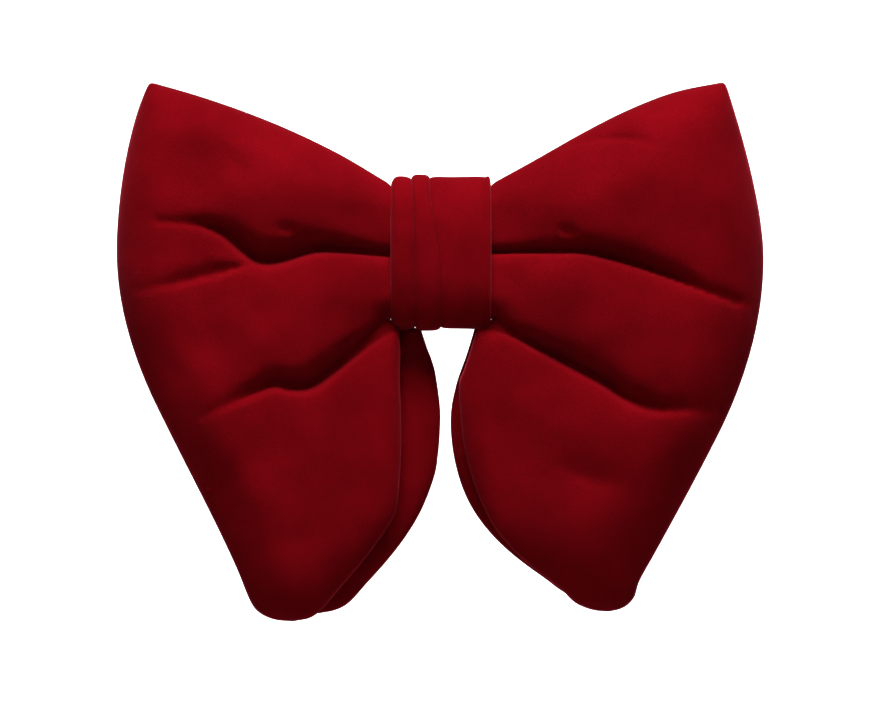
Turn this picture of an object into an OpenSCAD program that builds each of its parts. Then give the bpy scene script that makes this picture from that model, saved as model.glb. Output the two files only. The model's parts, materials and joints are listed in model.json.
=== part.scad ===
// Pre-tied velvet bow tie on an adjustable neckband.
// Origin: middle of the neckband loop, on the neck's axis. +Z is up, the bow faces -Y.

/* [Bow] */
// Half of the bow's width, from its middle to a wing's outer edge
wing_span = 75.2; // [60:0.1:90]
// Height of the wings' top corners above the knot's middle
wing_rise = 39.6; // [32:0.1:48]
// Depth of the wings' lower tips below the knot's middle
wing_drop = 85.6; // [70:0.1:103]
// How far the padding lifts the face of a front wing
front_puff = 15; // [12:0.5:18]
// How far the padding lifts the back of a rear wing
rear_puff = 10; // [8:0.5:11]
// Thickness of the velvet
velvet_t = 0.9; // [0.7:0.05:1.2]

/* [Knot] */
// Width of the knot
knot_w = 23.3; // [19:0.1:28]
// Height of the knot
knot_h = 35.6; // [30:0.1:42]
// Thickness of the front bow where the knot grips it
front_waist_t = 9; // [7:0.5:11]
// Thickness of the rear bow where the knot grips it
rear_waist_t = 7; // [5:0.5:9]
// Thickness of the stiffening under the knot's velvet
lining_t = 0.8; // [0.5:0.1:1]
// Rounding of the knot's four long corners
knot_r = 6; // [4:0.5:7]
// Width of the narrow fold at the knot's left edge
fold_w = 4.9; // [3:0.1:6]
// Width of the second, raised fold
raised_fold_w = 5.6; // [4:0.1:7]
// Thickness of the binding thread and the stitches
thread_d = 0.6; // [0.4:0.1:0.8]
// Turns of binding thread round the gathered waist
thread_turns = 5; // [3:1:7]

/* [Neckband] */
// Inner radius of the closed neckband, which is the collar's
neck_r = 62; // [51:0.5:75]
// Height of the neckband
band_w = 16; // [13:0.5:20]
// Thickness of the neckband
band_t = 1; // [0.8:0.05:1.2]
// Angle from the knot to the point where the short side bends away
swing_at = 60; // [50:1:70]

/* [Fittings] */
// Diameter of the wire that the fittings are made of
wire_d = 1.2; // [1:0.05:1.5]
// Thickness of the hook's plate
plate_t = 0.8; // [0.6:0.05:1]
// Width of the hook's tongue
tongue_w = 10; // [8:0.5:12]
// Distance from the clasp's middle to each strap bar
clasp_reach = 12; // [11:0.5:15]
// Free play of the eye in the hook
clasp_play = 0.25; // [0.2:0.05:0.4]
// Angle from the knot to the slider
slider_at = 128; // [120:1:135]
// Distance between the slider's bars
slider_pitch = 5.5; // [5:0.1:7]

/* [Hidden] */

VELVET = "#7a0810";
PADDING = "#e8e4da";
METAL = "#c8c8cc";
THREAD = "#5a060c";
ARC_FN = 96;
WIRE_FN = 32;

// Clearances: between layers that move apart, between stacked layers, and beside the knot
layer_gap = 0.4;
stack_gap = 0.1;
wire_fit = 0.05;
// How much a strap is pressed thinner on each side where one stretch of it runs into another
nip = 0.05;
knot_gap = 1.05;
lobe_gap = 0.8;
swing_gap = 0.4;
wire_r = wire_d / 2;

// The knot's stack, from the neckband forwards
knot_back = -(neck_r + band_t + 1.5 * stack_gap);
thread_gap = thread_d + stack_gap;
knot_d = 2 * (velvet_t + lining_t + thread_gap) + front_waist_t + rear_waist_t;
knot_mid = knot_back - knot_d / 2;
bow_mid = knot_back - velvet_t - lining_t - thread_gap - rear_waist_t;

// A wing's outline in the plane of the bow: [distance from the bow's middle, height].
// Corners at the knot follow the knot; the rest are shares of the span, the rise and the drop.
knot_side = knot_w / 2 + knot_gap;
function up(share_out, share_up) = [share_out * wing_span, share_up * wing_rise];
function down(share_out, share_down) = [share_out * wing_span, -share_down * wing_drop];
function under_knot(x, below) = [x, -knot_h / 2 - lobe_gap - below];
// How far each layer's top edge starts below the one in front of it
shoulder = 1.4;
knot_top = [knot_side, knot_h / 2 - shoulder];
rear_knot_top = knot_top - [0, shoulder];
knot_low = under_knot(knot_side, 0);

function bezier(c, n) = [for (i = [0:n - 1]) let (t = i / n)
    pow(1 - t, 3) * c[0] + 3 * pow(1 - t, 2) * t * c[1]
    + 3 * (1 - t) * t * t * c[2] + t * t * t * c[3]];
// Each row holds two pull points and an end; a curve starts where the one before it ended.
function outline(start, rows, n) = [
    for (i = [0:len(rows) - 1])
        each bezier([i == 0 ? start : rows[i - 1][2], rows[i][0], rows[i][1], rows[i][2]], n),
    rows[len(rows) - 1][2]
];

CURVE_STEPS = 5;
left_front = outline(knot_top, [
    [up(0.40, 0.70), up(0.66, 0.88), up(0.90, 1)],
    [up(0.96, 0.76), up(1, 0.35), up(1, 0)],
    [down(1, 0.16), down(0.935, 0.32), down(0.855, 0.455)],
    [down(0.757, 0.63), down(0.65, 0.80), down(0.588, 0.945)],
    [down(0.56, 1.01), down(0.41, 1.018), down(0.365, 0.966)],
    [down(0.28, 0.877), down(0.18, 0.785), down(0.137, 0.70)],
    [down(0.115, 0.585), down(0.122, 0.385), under_knot(0.132 * wing_span, 3.6)],
    [under_knot(0.134 * wing_span, 2), under_knot(knot_side - 1, 0.3), knot_low]
], CURVE_STEPS);
right_front = outline(knot_top, [
    [up(0.37, 0.61), up(0.61, 0.95), up(0.877, 1)],
    [up(0.918, 0.76), up(0.988, 0.33), up(0.995, 0)],
    [down(1, 0.164), down(0.945, 0.327), down(0.877, 0.455)],
    [down(0.80, 0.596), down(0.68, 0.783), down(0.613, 0.89)],
    [down(0.60, 0.98), down(0.505, 0.993), down(0.415, 0.95)],
    [down(0.346, 0.882), down(0.266, 0.865), down(0.168, 0.749)],
    [down(0.10, 0.654), down(0.04, 0.49), under_knot(0.065 * wing_span, 10.3)],
    [under_knot(0.077 * wing_span, 6.5), under_knot(0.105 * wing_span, 1.5), knot_low]
], CURVE_STEPS);
left_rear = outline(rear_knot_top, [
    [up(0.40, 0.64), up(0.66, 0.82), up(0.885, 0.94)],
    [up(0.955, 0.72), up(1, 0.33), up(1, 0)],
    [down(1.002, 0.16), down(0.94, 0.32), down(0.862, 0.455)],
    [down(0.765, 0.63), down(0.64, 0.82), down(0.53, 0.94)],
    [down(0.46, 0.995), down(0.35, 1), down(0.285, 0.955)],
    [down(0.20, 0.87), down(0.07, 0.77), down(0.02, 0.61)],
    [down(-0.003, 0.52), down(-0.006, 0.39), under_knot(0.021 * wing_span, 6.3)],
    [under_knot(0.045 * wing_span, 2), under_knot(0.09 * wing_span, 1), knot_low]
], CURVE_STEPS);
right_rear = outline(rear_knot_top, [
    [up(0.37, 0.57), up(0.61, 0.90), up(0.865, 0.94)],
    [up(0.91, 0.72), up(0.985, 0.32), up(0.997, 0)],
    [down(1.004, 0.164), down(0.95, 0.327), down(0.883, 0.455)],
    [down(0.806, 0.596), down(0.67, 0.79), down(0.585, 0.885)],
    [down(0.55, 0.965), down(0.45, 0.975), down(0.37, 0.92)],
    [down(0.30, 0.87), down(0.19, 0.82), down(0.11, 0.715)],
    [down(0.035, 0.62), down(0.01, 0.45), under_knot(0.047 * wing_span, 12.7)],
    [under_knot(0.065 * wing_span, 6.5), under_knot(0.10 * wing_span, 1), knot_low]
], CURVE_STEPS);

// The padding is highest at the heart of the wing and rounds over towards its seam.
wing_heart = [0.54 * wing_span, -0.28 * wing_drop];
RINGS = [1, 0.985, 0.94, 0.85, 0.7, 0.42];
function loft(share, puff) = puff * sqrt(1 - pow(share, 4));
function shrink(flat, by) = [for (p = flat) p + (wing_heart - p) * by / norm(wing_heart - p)];
// side is -1 on the left and 1 on the right; facing is -1 to the front and 1 to the rear.
function place(p, depth, side, facing) =
    [side * p[0], bow_mid + facing * (layer_gap / 2 + depth), p[1]];
function dome_points(flat, floor_at, puff, side, facing) = [
    for (r = RINGS) for (p = flat)
        place(wing_heart + r * (p - wing_heart), floor_at + loft(r, puff), side, facing),
    place(wing_heart, floor_at + puff, side, facing)
];
function dome_faces(n, from) = let (last = len(RINGS) - 1) [
    for (k = [0:last - 1]) for (i = [0:n - 1]) let (j = (i + 1) % n)
        each [[from + k * n + i, from + k * n + j, from + (k + 1) * n + j],
              [from + k * n + i, from + (k + 1) * n + j, from + (k + 1) * n + i]],
    for (i = [0:n - 1]) [from + last * n + i, from + last * n + (i + 1) % n, from + (last + 1) * n]
];
function turned(faces) = [for (f = faces) [for (i = [len(f) - 1:-1:0]) f[i]]];
function oriented(faces, side, facing) = side * facing < 0 ? faces : turned(faces);

module domed_panel(flat, puff, side, facing) {
    n = len(flat);
    inner = n * len(RINGS) + 1;
    faces = concat(
        dome_faces(n, 0),
        turned(dome_faces(n, inner)),
        [for (i = [0:n - 1]) let (j = (i + 1) % n) each [[j, i, inner + i], [j, inner + i, inner + j]]]
    );
    polyhedron(
        concat(
            dome_points(flat, velvet_t, puff - velvet_t, side, facing),
            dome_points(shrink(flat, velvet_t), velvet_t, puff - 2 * velvet_t, side, facing)
        ),
        oriented(faces, side, facing), convexity = 4
    );
}

module flat_panel(flat, side, facing) {
    y = bow_mid + facing * (layer_gap / 2 + (facing > 0 ? velvet_t : 0));
    translate([0, y, 0]) rotate([90, 0, 0]) linear_extrude(velvet_t)
        polygon([for (p = flat) [side * p[0], p[1]]]);
}

module padding(flat, puff, side, facing) {
    n = len(flat);
    faces = concat(dome_faces(n, 0), [[for (i = [n - 1:-1:0]) i]]);
    polyhedron(
        dome_points(shrink(flat, velvet_t + stack_gap), velvet_t + stack_gap / 2,
            puff - 2 * velvet_t - stack_gap, side, facing),
        oriented(faces, side, facing), convexity = 4
    );
}

module left_front_wing_face_panel() { color(VELVET) domed_panel(left_front, front_puff, -1, -1); }
module left_front_wing_back_panel() { color(VELVET) flat_panel(left_front, -1, -1); }
module left_front_wing_wadding() { color(PADDING) padding(left_front, front_puff, -1, -1); }
module right_front_wing_face_panel() { color(VELVET) domed_panel(right_front, front_puff, 1, -1); }
module right_front_wing_back_panel() { color(VELVET) flat_panel(right_front, 1, -1); }
module right_front_wing_wadding() { color(PADDING) padding(right_front, front_puff, 1, -1); }
module left_rear_wing_face_panel() { color(VELVET) flat_panel(left_rear, -1, 1); }
module left_rear_wing_back_panel() { color(VELVET) domed_panel(left_rear, rear_puff, -1, 1); }
module left_rear_wing_wadding() { color(PADDING) padding(left_rear, rear_puff, -1, 1); }
module right_rear_wing_face_panel() { color(VELVET) flat_panel(right_rear, 1, 1); }
module right_rear_wing_back_panel() { color(VELVET) domed_panel(right_rear, rear_puff, 1, 1); }
module right_rear_wing_wadding() { color(PADDING) padding(right_rear, rear_puff, 1, 1); }

// A rectangle with round corners, centred, made of exact arcs
module round_rect(deep, tall, r) {
    square([deep - 2 * r, tall], center = true);
    square([deep, tall - 2 * r], center = true);
    for (x = [-1, 1], y = [-1, 1]) translate([x * (deep / 2 - r), y * (tall / 2 - r)])
        circle(r, $fn = ARC_FN);
}

// Extrudes a profile of depth and height along the bow's width, between two distances from its middle
module across(from, to) {
    translate([from, knot_mid, 0]) rotate([90, 0, 90]) linear_extrude(to - from) children();
}

// A slice of the knot that starts inset from the knot's skin and is wall thick
module sleeve(inset, wall, from, to) {
    across(from, to) difference() {
        round_rect(knot_d - 2 * inset, knot_h - 2 * inset, knot_r - inset);
        round_rect(knot_d - 2 * (inset + wall), knot_h - 2 * (inset + wall), knot_r - inset - wall);
    }
}

fold_step = velvet_t / 3;
module knot_wrap() {
    fold_end = -knot_w / 2 + fold_w;
    raised_end = fold_end + raised_fold_w;
    color(VELVET) {
        sleeve(fold_step, velvet_t - fold_step, -knot_w / 2, fold_end);
        sleeve(0, velvet_t, fold_end, raised_end);
        sleeve(fold_step / 2, velvet_t - fold_step / 2, raised_end, knot_w / 2);
    }
}

// The lining stops this far inside the knot's edges
lining_margin = 1;
module knot_lining() {
    lining_end = knot_w / 2 - lining_margin;
    color(PADDING) sleeve(velvet_t, lining_t, -lining_end, lining_end);
}

waist_inset = velvet_t + lining_t + thread_gap;
waist_end = knot_w / 2;
// A waist is cut out of the knot's hollow by a block that stands this far past its outer face
spare = 1;
module waist(from_y, to_y) {
    intersection() {
        across(-waist_end, waist_end)
            round_rect(knot_d - 2 * waist_inset, knot_h - 2 * waist_inset, knot_r - waist_inset);
        translate([-waist_end, from_y, -knot_h]) cube([2 * waist_end, to_y - from_y, 2 * knot_h]);
    }
}
module front_bow_waist() { color(VELVET) waist(bow_mid - front_waist_t - spare, bow_mid - stack_gap / 2); }
module rear_bow_waist() { color(VELVET) waist(bow_mid + stack_gap / 2, bow_mid + rear_waist_t + spare); }

thread_pitch = 2 * thread_d;
module waist_thread() {
    color(THREAD) for (i = [0:thread_turns - 1]) {
        x = (i - (thread_turns - 1) / 2) * thread_pitch;
        sleeve(waist_inset - thread_d - stack_gap / 2, thread_d, x - thread_d / 2, x + thread_d / 2);
    }
}

// Whip stitches that close the knot's velvet at the back, below the neckband
STITCHES = 7;
STITCH_SLANT = 35;
stitch_r = thread_d / 2;
stitch_len = 2.6;
// How far the seam's first and last stitches lie inside the knot's edges
seam_margin = 3;
// How far the seam lies below the middle of the flat between the neckband and the knot's rounding
seam_drop = 0.6;
module knot_seam_stitches() {
    z = -(band_w / 2 + knot_h / 2 - knot_r) / 2 - seam_drop;
    span = knot_w - 2 * seam_margin;
    y = knot_back + stitch_r + stack_gap / 2;
    color(THREAD) for (i = [0:STITCHES - 1])
        translate([(i / (STITCHES - 1) - 0.5) * span, y, z]) rotate([0, STITCH_SLANT, 0])
            cylinder(r = stitch_r, h = stitch_len, center = true, $fn = WIRE_FN);
}

// The neckband. Angles run from the knot, at the front, towards the wearer's back on the right-hand side.
bar_r = neck_r + band_t + wire_fit + wire_r;
bar_y = sqrt(bar_r * bar_r - clasp_reach * clasp_reach);
bar_angle = 180 - asin(clasp_reach / bar_r);
return_r = neck_r + band_t + stack_gap;
loop_in = wire_r + wire_fit;
loop_out = loop_in + band_t;
// Length of the turned end's leg
loop_leg = 9;
leg_angle = loop_leg / bar_r * 180 / PI;
// Room between a fitting's rails and the strap's edges
strap_room = 0.8;
bar_half = band_w / 2 + strap_room + wire_r;

// The turned end starts this far inside the strap, so that they are one piece
lap_angle = 1;

function at_angle(a, r) = [r * sin(a), -r * cos(a)];

module arc_strip(from, to, r, wall) {
    rotate([0, 0, from - 90]) rotate_extrude(angle = to - from, $fn = 2 * ARC_FN)
        translate([r, -band_w / 2]) square([wall, band_w]);
}

// The band's end, turned round a strap bar and laid back on itself; drawn for the right-hand side
// The laid-back leg comes down onto the strap as its share t of the way goes from 0 to 1.
LEG_STEPS = 8;
function leg_drop(t) = t * t * (3 - 2 * t);
function leg_at(t) = bar_angle - leg_angle * t;
function leg_r(t) = bar_r + loop_in + (return_r - bar_r - loop_in) * leg_drop(t);

// One side of the turned end: out of the strap, round the bar and down the leg.
// by is how far the side is from the strap's outer face, as the strap lies before it turns.
TURN_STEPS = 16;
function turn_side(by) = concat(
    [at_angle(bar_angle - lap_angle, neck_r + band_t - by)],
    [for (i = [0:TURN_STEPS]) let (phi = 180 * i / TURN_STEPS - 90)
        at_angle(bar_angle, bar_r + (loop_in + by) * sin(phi))
        + (loop_in + by) * cos(phi) * [cos(bar_angle), sin(bar_angle)]],
    [for (i = [1:LEG_STEPS]) let (t = i / LEG_STEPS) at_angle(leg_at(t), leg_r(t) + by)]
);
module strap_loop() {
    outer = turn_side(band_t - nip);
    translate([0, 0, -band_w / 2]) linear_extrude(band_w)
        polygon(concat(turn_side(nip), [for (i = [len(outer) - 1:-1:0]) outer[i]]));
}

module neckband() {
    color(VELVET) {
        arc_strip(-swing_at, bar_angle, neck_r, band_t);
        strap_loop();
    }
}

swing_gap_angle = swing_gap / neck_r * 180 / PI;
module neckband_short_side() {
    color(VELVET) {
        arc_strip(-bar_angle, -swing_at - swing_gap_angle, neck_r, band_t);
        mirror([1, 0, 0]) strap_loop();
    }
}

// Where the strap crosses the slider's middle bar, and how far that stretch reaches past the outer bars
slider_r = return_r + band_t + stack_gap + wire_r;
crossing_reach = 2;
crossing_half = slider_pitch + crossing_reach;
strap_mid_r = return_r + band_t / 2;
crossing_angle = asin((crossing_half + stack_gap) / strap_mid_r);
module neckband_return() {
    color(VELVET) arc_strip(slider_at + crossing_angle, bar_angle - leg_angle, return_r, band_t);
}

// Stitches over the neckband's edges that hold it to the knot's back
TACKS = 4;
tack_margin = 5;
module neckband_tacks() {
    y = (knot_back - neck_r) / 2;
    span = knot_w - 2 * tack_margin;
    tack_len = -knot_back - neck_r - 2 * stack_gap;
    edge_z = band_w / 2 + stitch_r + stack_gap / 2;
    color(THREAD) for (end = [-1, 1], i = [0:TACKS - 1])
        translate([(i / (TACKS - 1) - 0.5) * span, y, end * edge_z]) rotate([90, 0, 0])
            cylinder(r = stitch_r, h = tack_len, center = true, $fn = WIRE_FN);
}

// The hook and the eye meet at the wearer's nape. The eye's near bar lies in the hook's bend.
bend_in = wire_r + clasp_play;
bend_out = bend_in + plate_t;
eye_y = bar_y - plate_t / 2 + bend_out;
// The hook's plate: gap between it and the strap bar's wire, width of its posts,
// length over which it narrows to the tongue, and how far a rail runs into it
plate_gap = 3.6;
post_w = 2;
plate_taper = 3;
rail_seat = 0.5;
frame_x = clasp_reach - wire_r - plate_gap;

module upright(x, y) {
    translate([x, y, 0])
        cylinder(r = wire_r, h = 2 * (bar_half + wire_r), center = true, $fn = WIRE_FN);
}

// A straight wire between two uprights, a little thinner than they are
rail_r = 0.85 * wire_r;
module rail(a, b, z) {
    d = b - a;
    translate([a[0], a[1], z]) rotate([0, 0, atan2(d[1], d[0])]) rotate([0, 90, 0])
        cylinder(r = rail_r, h = norm(d), $fn = WIRE_FN);
}

module hook() {
    plate_top = bar_half + wire_r;
    tongue_x = post_w + plate_taper - frame_x;
    color(METAL) {
        upright(-clasp_reach, bar_y);
        for (end = [-1, 1]) rail([-clasp_reach, bar_y], [rail_seat - frame_x, bar_y], end * bar_half);
        translate([0, bar_y + plate_t / 2, 0]) rotate([90, 0, 0]) linear_extrude(plate_t)
            polygon([
                [-frame_x, plate_top], [post_w - frame_x, plate_top],
                [tongue_x, tongue_w / 2], [0, tongue_w / 2], [0, -tongue_w / 2],
                [tongue_x, -tongue_w / 2], [post_w - frame_x, -plate_top],
                [-frame_x, -plate_top]
            ]);
        translate([0, eye_y, -tongue_w / 2]) difference() {
            cylinder(r = bend_out, h = tongue_w, $fn = WIRE_FN);
            translate([0, 0, -1]) cylinder(r = bend_in, h = tongue_w + 2, $fn = WIRE_FN);
            translate([-2 * bend_out, -2 * bend_out, -1]) cube([2 * bend_out, 4 * bend_out, tongue_w + 2]);
        }
    }
}

module eye_ring() {
    color(METAL) {
        upright(0, eye_y);
        upright(clasp_reach, bar_y);
        for (end = [-1, 1]) rail([0, eye_y], [clasp_reach, bar_y], end * bar_half);
    }
}

// A bar tack across the short side's folded end
LOOP_STITCHES = 5;
STITCH_ROWS = [0.7, 0.9];
loop_stitch_len = 2;
loop_stitch_margin = 2;
module hook_loop_stitches() {
    color(THREAD) for (i = [0:LOOP_STITCHES - 1], t = STITCH_ROWS)
        rotate([0, 0, -leg_at(t)])
            translate([0, -leg_r(t) - band_t - stitch_r - stack_gap,
                (i / (LOOP_STITCHES - 1) - 0.5) * (band_w - 2 * loop_stitch_margin)])
                cylinder(r = stitch_r, h = loop_stitch_len, center = true, $fn = WIRE_FN);
}

// Places a fitting drawn round [0, slider_r] at the slider's angle
module at_slider() { rotate([0, 0, slider_at - 180]) children(); }

module slider() {
    color(METAL) at_slider() {
        for (x = [-slider_pitch, 0, slider_pitch]) upright(x, slider_r);
        for (end = [-1, 1])
            rail([-slider_pitch, slider_r], [slider_pitch, slider_r], end * bar_half);
    }
}

module sewn_end_loop() {
    color(VELVET) at_slider() translate([0, slider_r, 0]) difference() {
        cylinder(r = loop_out, h = band_w, center = true, $fn = WIRE_FN);
        cylinder(r = loop_in, h = band_w + 2, center = true, $fn = WIRE_FN);
    }
}

// The stretch of strap that hugs the sewn end on the middle bar, and passes under the outer bars.
// It leaves the sewn end at an angle above the bars, and is down again just short of the outer bar.
hug_r = loop_out + 2 * stack_gap + band_t / 2;
leave_angle = 20;
leave_pull = 1;
leave_point = [0, slider_r] + hug_r * [cos(leave_angle), sin(leave_angle)];
function on_band(x) = [x, sqrt(strap_mid_r * strap_mid_r - x * x)];
down_x = slider_pitch - 1.5 * wire_r;
HUG_STEPS = 7;
LEVEL_STEPS = 4;
crossing_side = concat(
    [for (i = [0:HUG_STEPS - 1]) let (a = 90 - (90 - leave_angle) * i / HUG_STEPS)
        [0, slider_r] + hug_r * [cos(a), sin(a)]],
    bezier([leave_point, leave_point + leave_pull * [sin(leave_angle), -cos(leave_angle)],
        on_band(down_x) - [leave_pull, 0], on_band(down_x)], HUG_STEPS),
    [for (i = [0:LEVEL_STEPS]) on_band(down_x + (crossing_half - down_x) * i / LEVEL_STEPS)]
);
crossing = concat(
    [for (i = [len(crossing_side) - 1:-1:1]) [-crossing_side[i][0], crossing_side[i][1]]],
    crossing_side
);
function beside(i, by) =
    let (d = crossing[min(i + 1, len(crossing) - 1)] - crossing[max(i - 1, 0)])
    crossing[i] + by * [-d[1], d[0]] / norm(d);
// On the knot's side the crossing thins down onto the band, where the strap really goes on
taper_len = 3;
thin_share = 0.15;
function thickness(x) =
    band_t * min(1, thin_share + (1 - thin_share) * (crossing_half - x) / taper_len);
module slider_crossing() {
    last = len(crossing) - 1;
    color(VELVET) at_slider() translate([0, 0, -band_w / 2]) linear_extrude(band_w) polygon(concat(
        [for (i = [0:last]) beside(i, -band_t / 2)],
        [for (i = [last:-1:0]) beside(i, thickness(crossing[i][0]) - band_t / 2)]
    ));
}

left_front_wing_face_panel();
left_front_wing_back_panel();
left_front_wing_wadding();
right_front_wing_face_panel();
right_front_wing_back_panel();
right_front_wing_wadding();
left_rear_wing_face_panel();
left_rear_wing_back_panel();
left_rear_wing_wadding();
right_rear_wing_face_panel();
right_rear_wing_back_panel();
right_rear_wing_wadding();
front_bow_waist();
rear_bow_waist();
waist_thread();
knot_wrap();
knot_lining();
knot_seam_stitches();
neckband();
neckband_short_side();
neckband_return();
neckband_tacks();
hook();
hook_loop_stitches();
eye_ring();
slider();
slider_crossing();
sewn_end_loop();
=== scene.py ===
"""Looks of a pre-tied velvet bow tie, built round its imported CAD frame.

Lengths in the settings are metres. The bow's own working numbers are millimetres: u is the distance
out from the bow's middle, z the height above the knot's middle, and depth the distance out of the
plane between the front and the rear bow. They become metres when a mesh is made.
"""

import json
import math

import bmesh
import bpy
import numpy as np
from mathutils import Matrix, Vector, noise


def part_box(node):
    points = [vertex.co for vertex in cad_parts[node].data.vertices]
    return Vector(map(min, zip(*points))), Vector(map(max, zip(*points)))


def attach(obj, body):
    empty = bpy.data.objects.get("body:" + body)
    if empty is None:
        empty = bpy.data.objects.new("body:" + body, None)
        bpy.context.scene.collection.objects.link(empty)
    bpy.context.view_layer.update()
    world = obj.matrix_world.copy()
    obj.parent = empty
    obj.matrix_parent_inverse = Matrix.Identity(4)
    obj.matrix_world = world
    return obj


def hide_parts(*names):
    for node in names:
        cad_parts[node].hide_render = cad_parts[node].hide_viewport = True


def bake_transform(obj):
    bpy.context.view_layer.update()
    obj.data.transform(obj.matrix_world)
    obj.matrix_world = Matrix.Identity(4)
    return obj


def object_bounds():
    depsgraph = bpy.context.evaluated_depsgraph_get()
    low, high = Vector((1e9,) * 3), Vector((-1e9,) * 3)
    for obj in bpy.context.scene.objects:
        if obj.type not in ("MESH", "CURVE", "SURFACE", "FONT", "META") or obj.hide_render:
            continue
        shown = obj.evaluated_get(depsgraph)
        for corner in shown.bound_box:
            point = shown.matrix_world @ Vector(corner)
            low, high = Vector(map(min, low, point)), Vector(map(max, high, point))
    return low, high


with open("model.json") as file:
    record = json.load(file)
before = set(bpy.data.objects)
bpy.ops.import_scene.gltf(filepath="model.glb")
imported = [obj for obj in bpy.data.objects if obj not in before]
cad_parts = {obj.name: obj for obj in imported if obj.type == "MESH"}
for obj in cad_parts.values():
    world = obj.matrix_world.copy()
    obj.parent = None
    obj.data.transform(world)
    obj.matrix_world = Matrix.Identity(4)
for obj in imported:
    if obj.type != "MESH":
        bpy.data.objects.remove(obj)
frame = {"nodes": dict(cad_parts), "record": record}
CAD_BOX = [list(corner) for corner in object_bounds()]

bl_info = {
    "name": "Velvet Bow Tie",
    "version": (1, 0, 0),
    "blender": (4, 5, 0),
    "location": "3D View > Sidebar > Bow Tie",
    "description": "Builds a padded velvet bow tie with its pleated knot and adjustable neckband",
    "category": "Add Mesh",
}

MM = 0.001
HOME = "knot_and_band"
SLIDER = "slider_carriage"
SHORT = "short_side"


def cad(node):
    """A CAD node's lowest and highest corner, in millimetres."""
    low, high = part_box(node)
    return np.array(low) / MM, np.array(high) / MM


KNOT_LOW, KNOT_HIGH = cad("knot_wrap")
KNOT_HALF_W = (KNOT_HIGH[0] - KNOT_LOW[0]) / 2
KNOT_HALF_H = (KNOT_HIGH[2] - KNOT_LOW[2]) / 2
KNOT_HALF_D = (KNOT_HIGH[1] - KNOT_LOW[1]) / 2
KNOT_MID_Y = (KNOT_HIGH[1] + KNOT_LOW[1]) / 2
LAYER_Y = (cad("left_front_wing_back_panel")[1][1] + cad("left_rear_wing_face_panel")[0][1]) / 2
LAYER_GAP = (cad("left_rear_wing_face_panel")[0][1] - cad("left_front_wing_back_panel")[1][1]) / 2
BAND_LOW, BAND_HIGH = cad("neckband_return")
BAND_HALF = (BAND_HIGH[2] - BAND_LOW[2]) / 2
NECK_R = frame["record"]["mounts"][0]["dims"]["r_mm"]


# ---------------------------------------------------------------- small mathematics

def smooth(t):
    """An S-shaped rise from 0 to 1."""
    t = np.clip(t, 0.0, 1.0)
    return t * t * (3 - 2 * t)


def mix(a, b, t):
    """The value that lies a share t of the way from a to b."""
    return a + (b - a) * t


def lengths_along(points):
    """The distance along a polyline at each of its points."""
    steps = np.linalg.norm(np.diff(points, axis=0), axis=1)
    return np.concatenate([[0.0], np.cumsum(steps)])


def resample(points, shares):
    """Points at the given shares of a polyline's length."""
    run = lengths_along(points)
    at = np.asarray(shares) * run[-1]
    return np.stack([np.interp(at, run, points[:, k]) for k in range(points.shape[1])], axis=1)


def flowing(points, steps=8, corner_deg=180.0):
    """A smooth curve through the points. It keeps a corner where the line turns by more than corner_deg."""
    points = np.asarray(points, float)
    before = np.vstack([2 * points[0] - points[1], points[:-1]])
    after = np.vstack([points[1:], 2 * points[-1] - points[-2]])
    tangent = (after - before) / 2
    a, b = points - before, after - points
    turn = np.abs(np.degrees(np.arctan2(a[:, 0] * b[:, 1] - a[:, 1] * b[:, 0], (a * b).sum(1))))
    sharp = turn > corner_deg
    leaving = np.where(sharp[:, None], b, tangent)
    arriving = np.where(sharp[:, None], a, tangent)
    out = []
    for i in range(len(points) - 1):
        t = np.linspace(0, 1, steps, endpoint=False)[:, None]
        out.append(
            (2 * t**3 - 3 * t**2 + 1) * points[i]
            + (t**3 - 2 * t**2 + t) * leaving[i]
            + (3 * t**2 - 2 * t**3) * points[i + 1]
            + (t**3 - t**2) * arriving[i + 1]
        )
    return np.vstack(out + [points[-1:]])


def nearest(points, line):
    """For each point: its distance to the polyline, which side it is on (+1 left), and the share reached."""
    a, b = line[:-1], line[1:]
    ab = b - a
    size = np.maximum((ab**2).sum(1), 1e-12)
    run = lengths_along(line)
    best = np.full(len(points), 1e9)
    side = np.ones(len(points))
    share = np.zeros(len(points))
    for k in range(len(a)):
        ap = points - a[k]
        t = np.clip((ap @ ab[k]) / size[k], 0, 1)
        off = ap - t[:, None] * ab[k]
        d = np.sqrt((off**2).sum(1))
        closer = d < best
        best = np.where(closer, d, best)
        turn = ab[k, 0] * ap[:, 1] - ab[k, 1] * ap[:, 0]
        side = np.where(closer, np.where(turn >= 0, 1.0, -1.0), side)
        share = np.where(closer, (run[k] + t * math.sqrt(size[k])) / run[-1], share)
    return best, side, share


def nearest_point(points, line):
    """The closest point of the polyline to each point."""
    a, b = line[:-1], line[1:]
    best, found = np.full(len(points), 1e9), points.copy()
    for start, end in zip(a, b):
        step = end - start
        t = np.clip(((points - start) @ step) / max(step @ step, 1e-12), 0, 1)
        foot = start + t[:, None] * step
        d = ((points - foot) ** 2).sum(1)
        closer = d < best
        best = np.where(closer, d, best)
        found = np.where(closer[:, None], foot, found)
    return found


def lumps(points, size, seed):
    """Smooth, fixed noise from -1 to 1 at points in millimetres."""
    shift = Vector((seed * 17.3, seed * 5.1, seed * 9.7))
    return np.array([noise.noise(Vector((p[0], p[1], 0)) / size + shift) for p in points])


# ---------------------------------------------------------------- mesh making

def make_object(name, points_mm, faces):
    """A smooth-shaded mesh object from points in millimetres."""
    mesh = bpy.data.meshes.new(name)
    mesh.from_pydata((np.asarray(points_mm) * MM).tolist(), [], faces)
    mesh.validate()
    mesh.polygons.foreach_set("use_smooth", [True] * len(mesh.polygons))
    mesh.update()
    obj = bpy.data.objects.new(name, mesh)
    bpy.context.scene.collection.objects.link(obj)
    return obj


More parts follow.
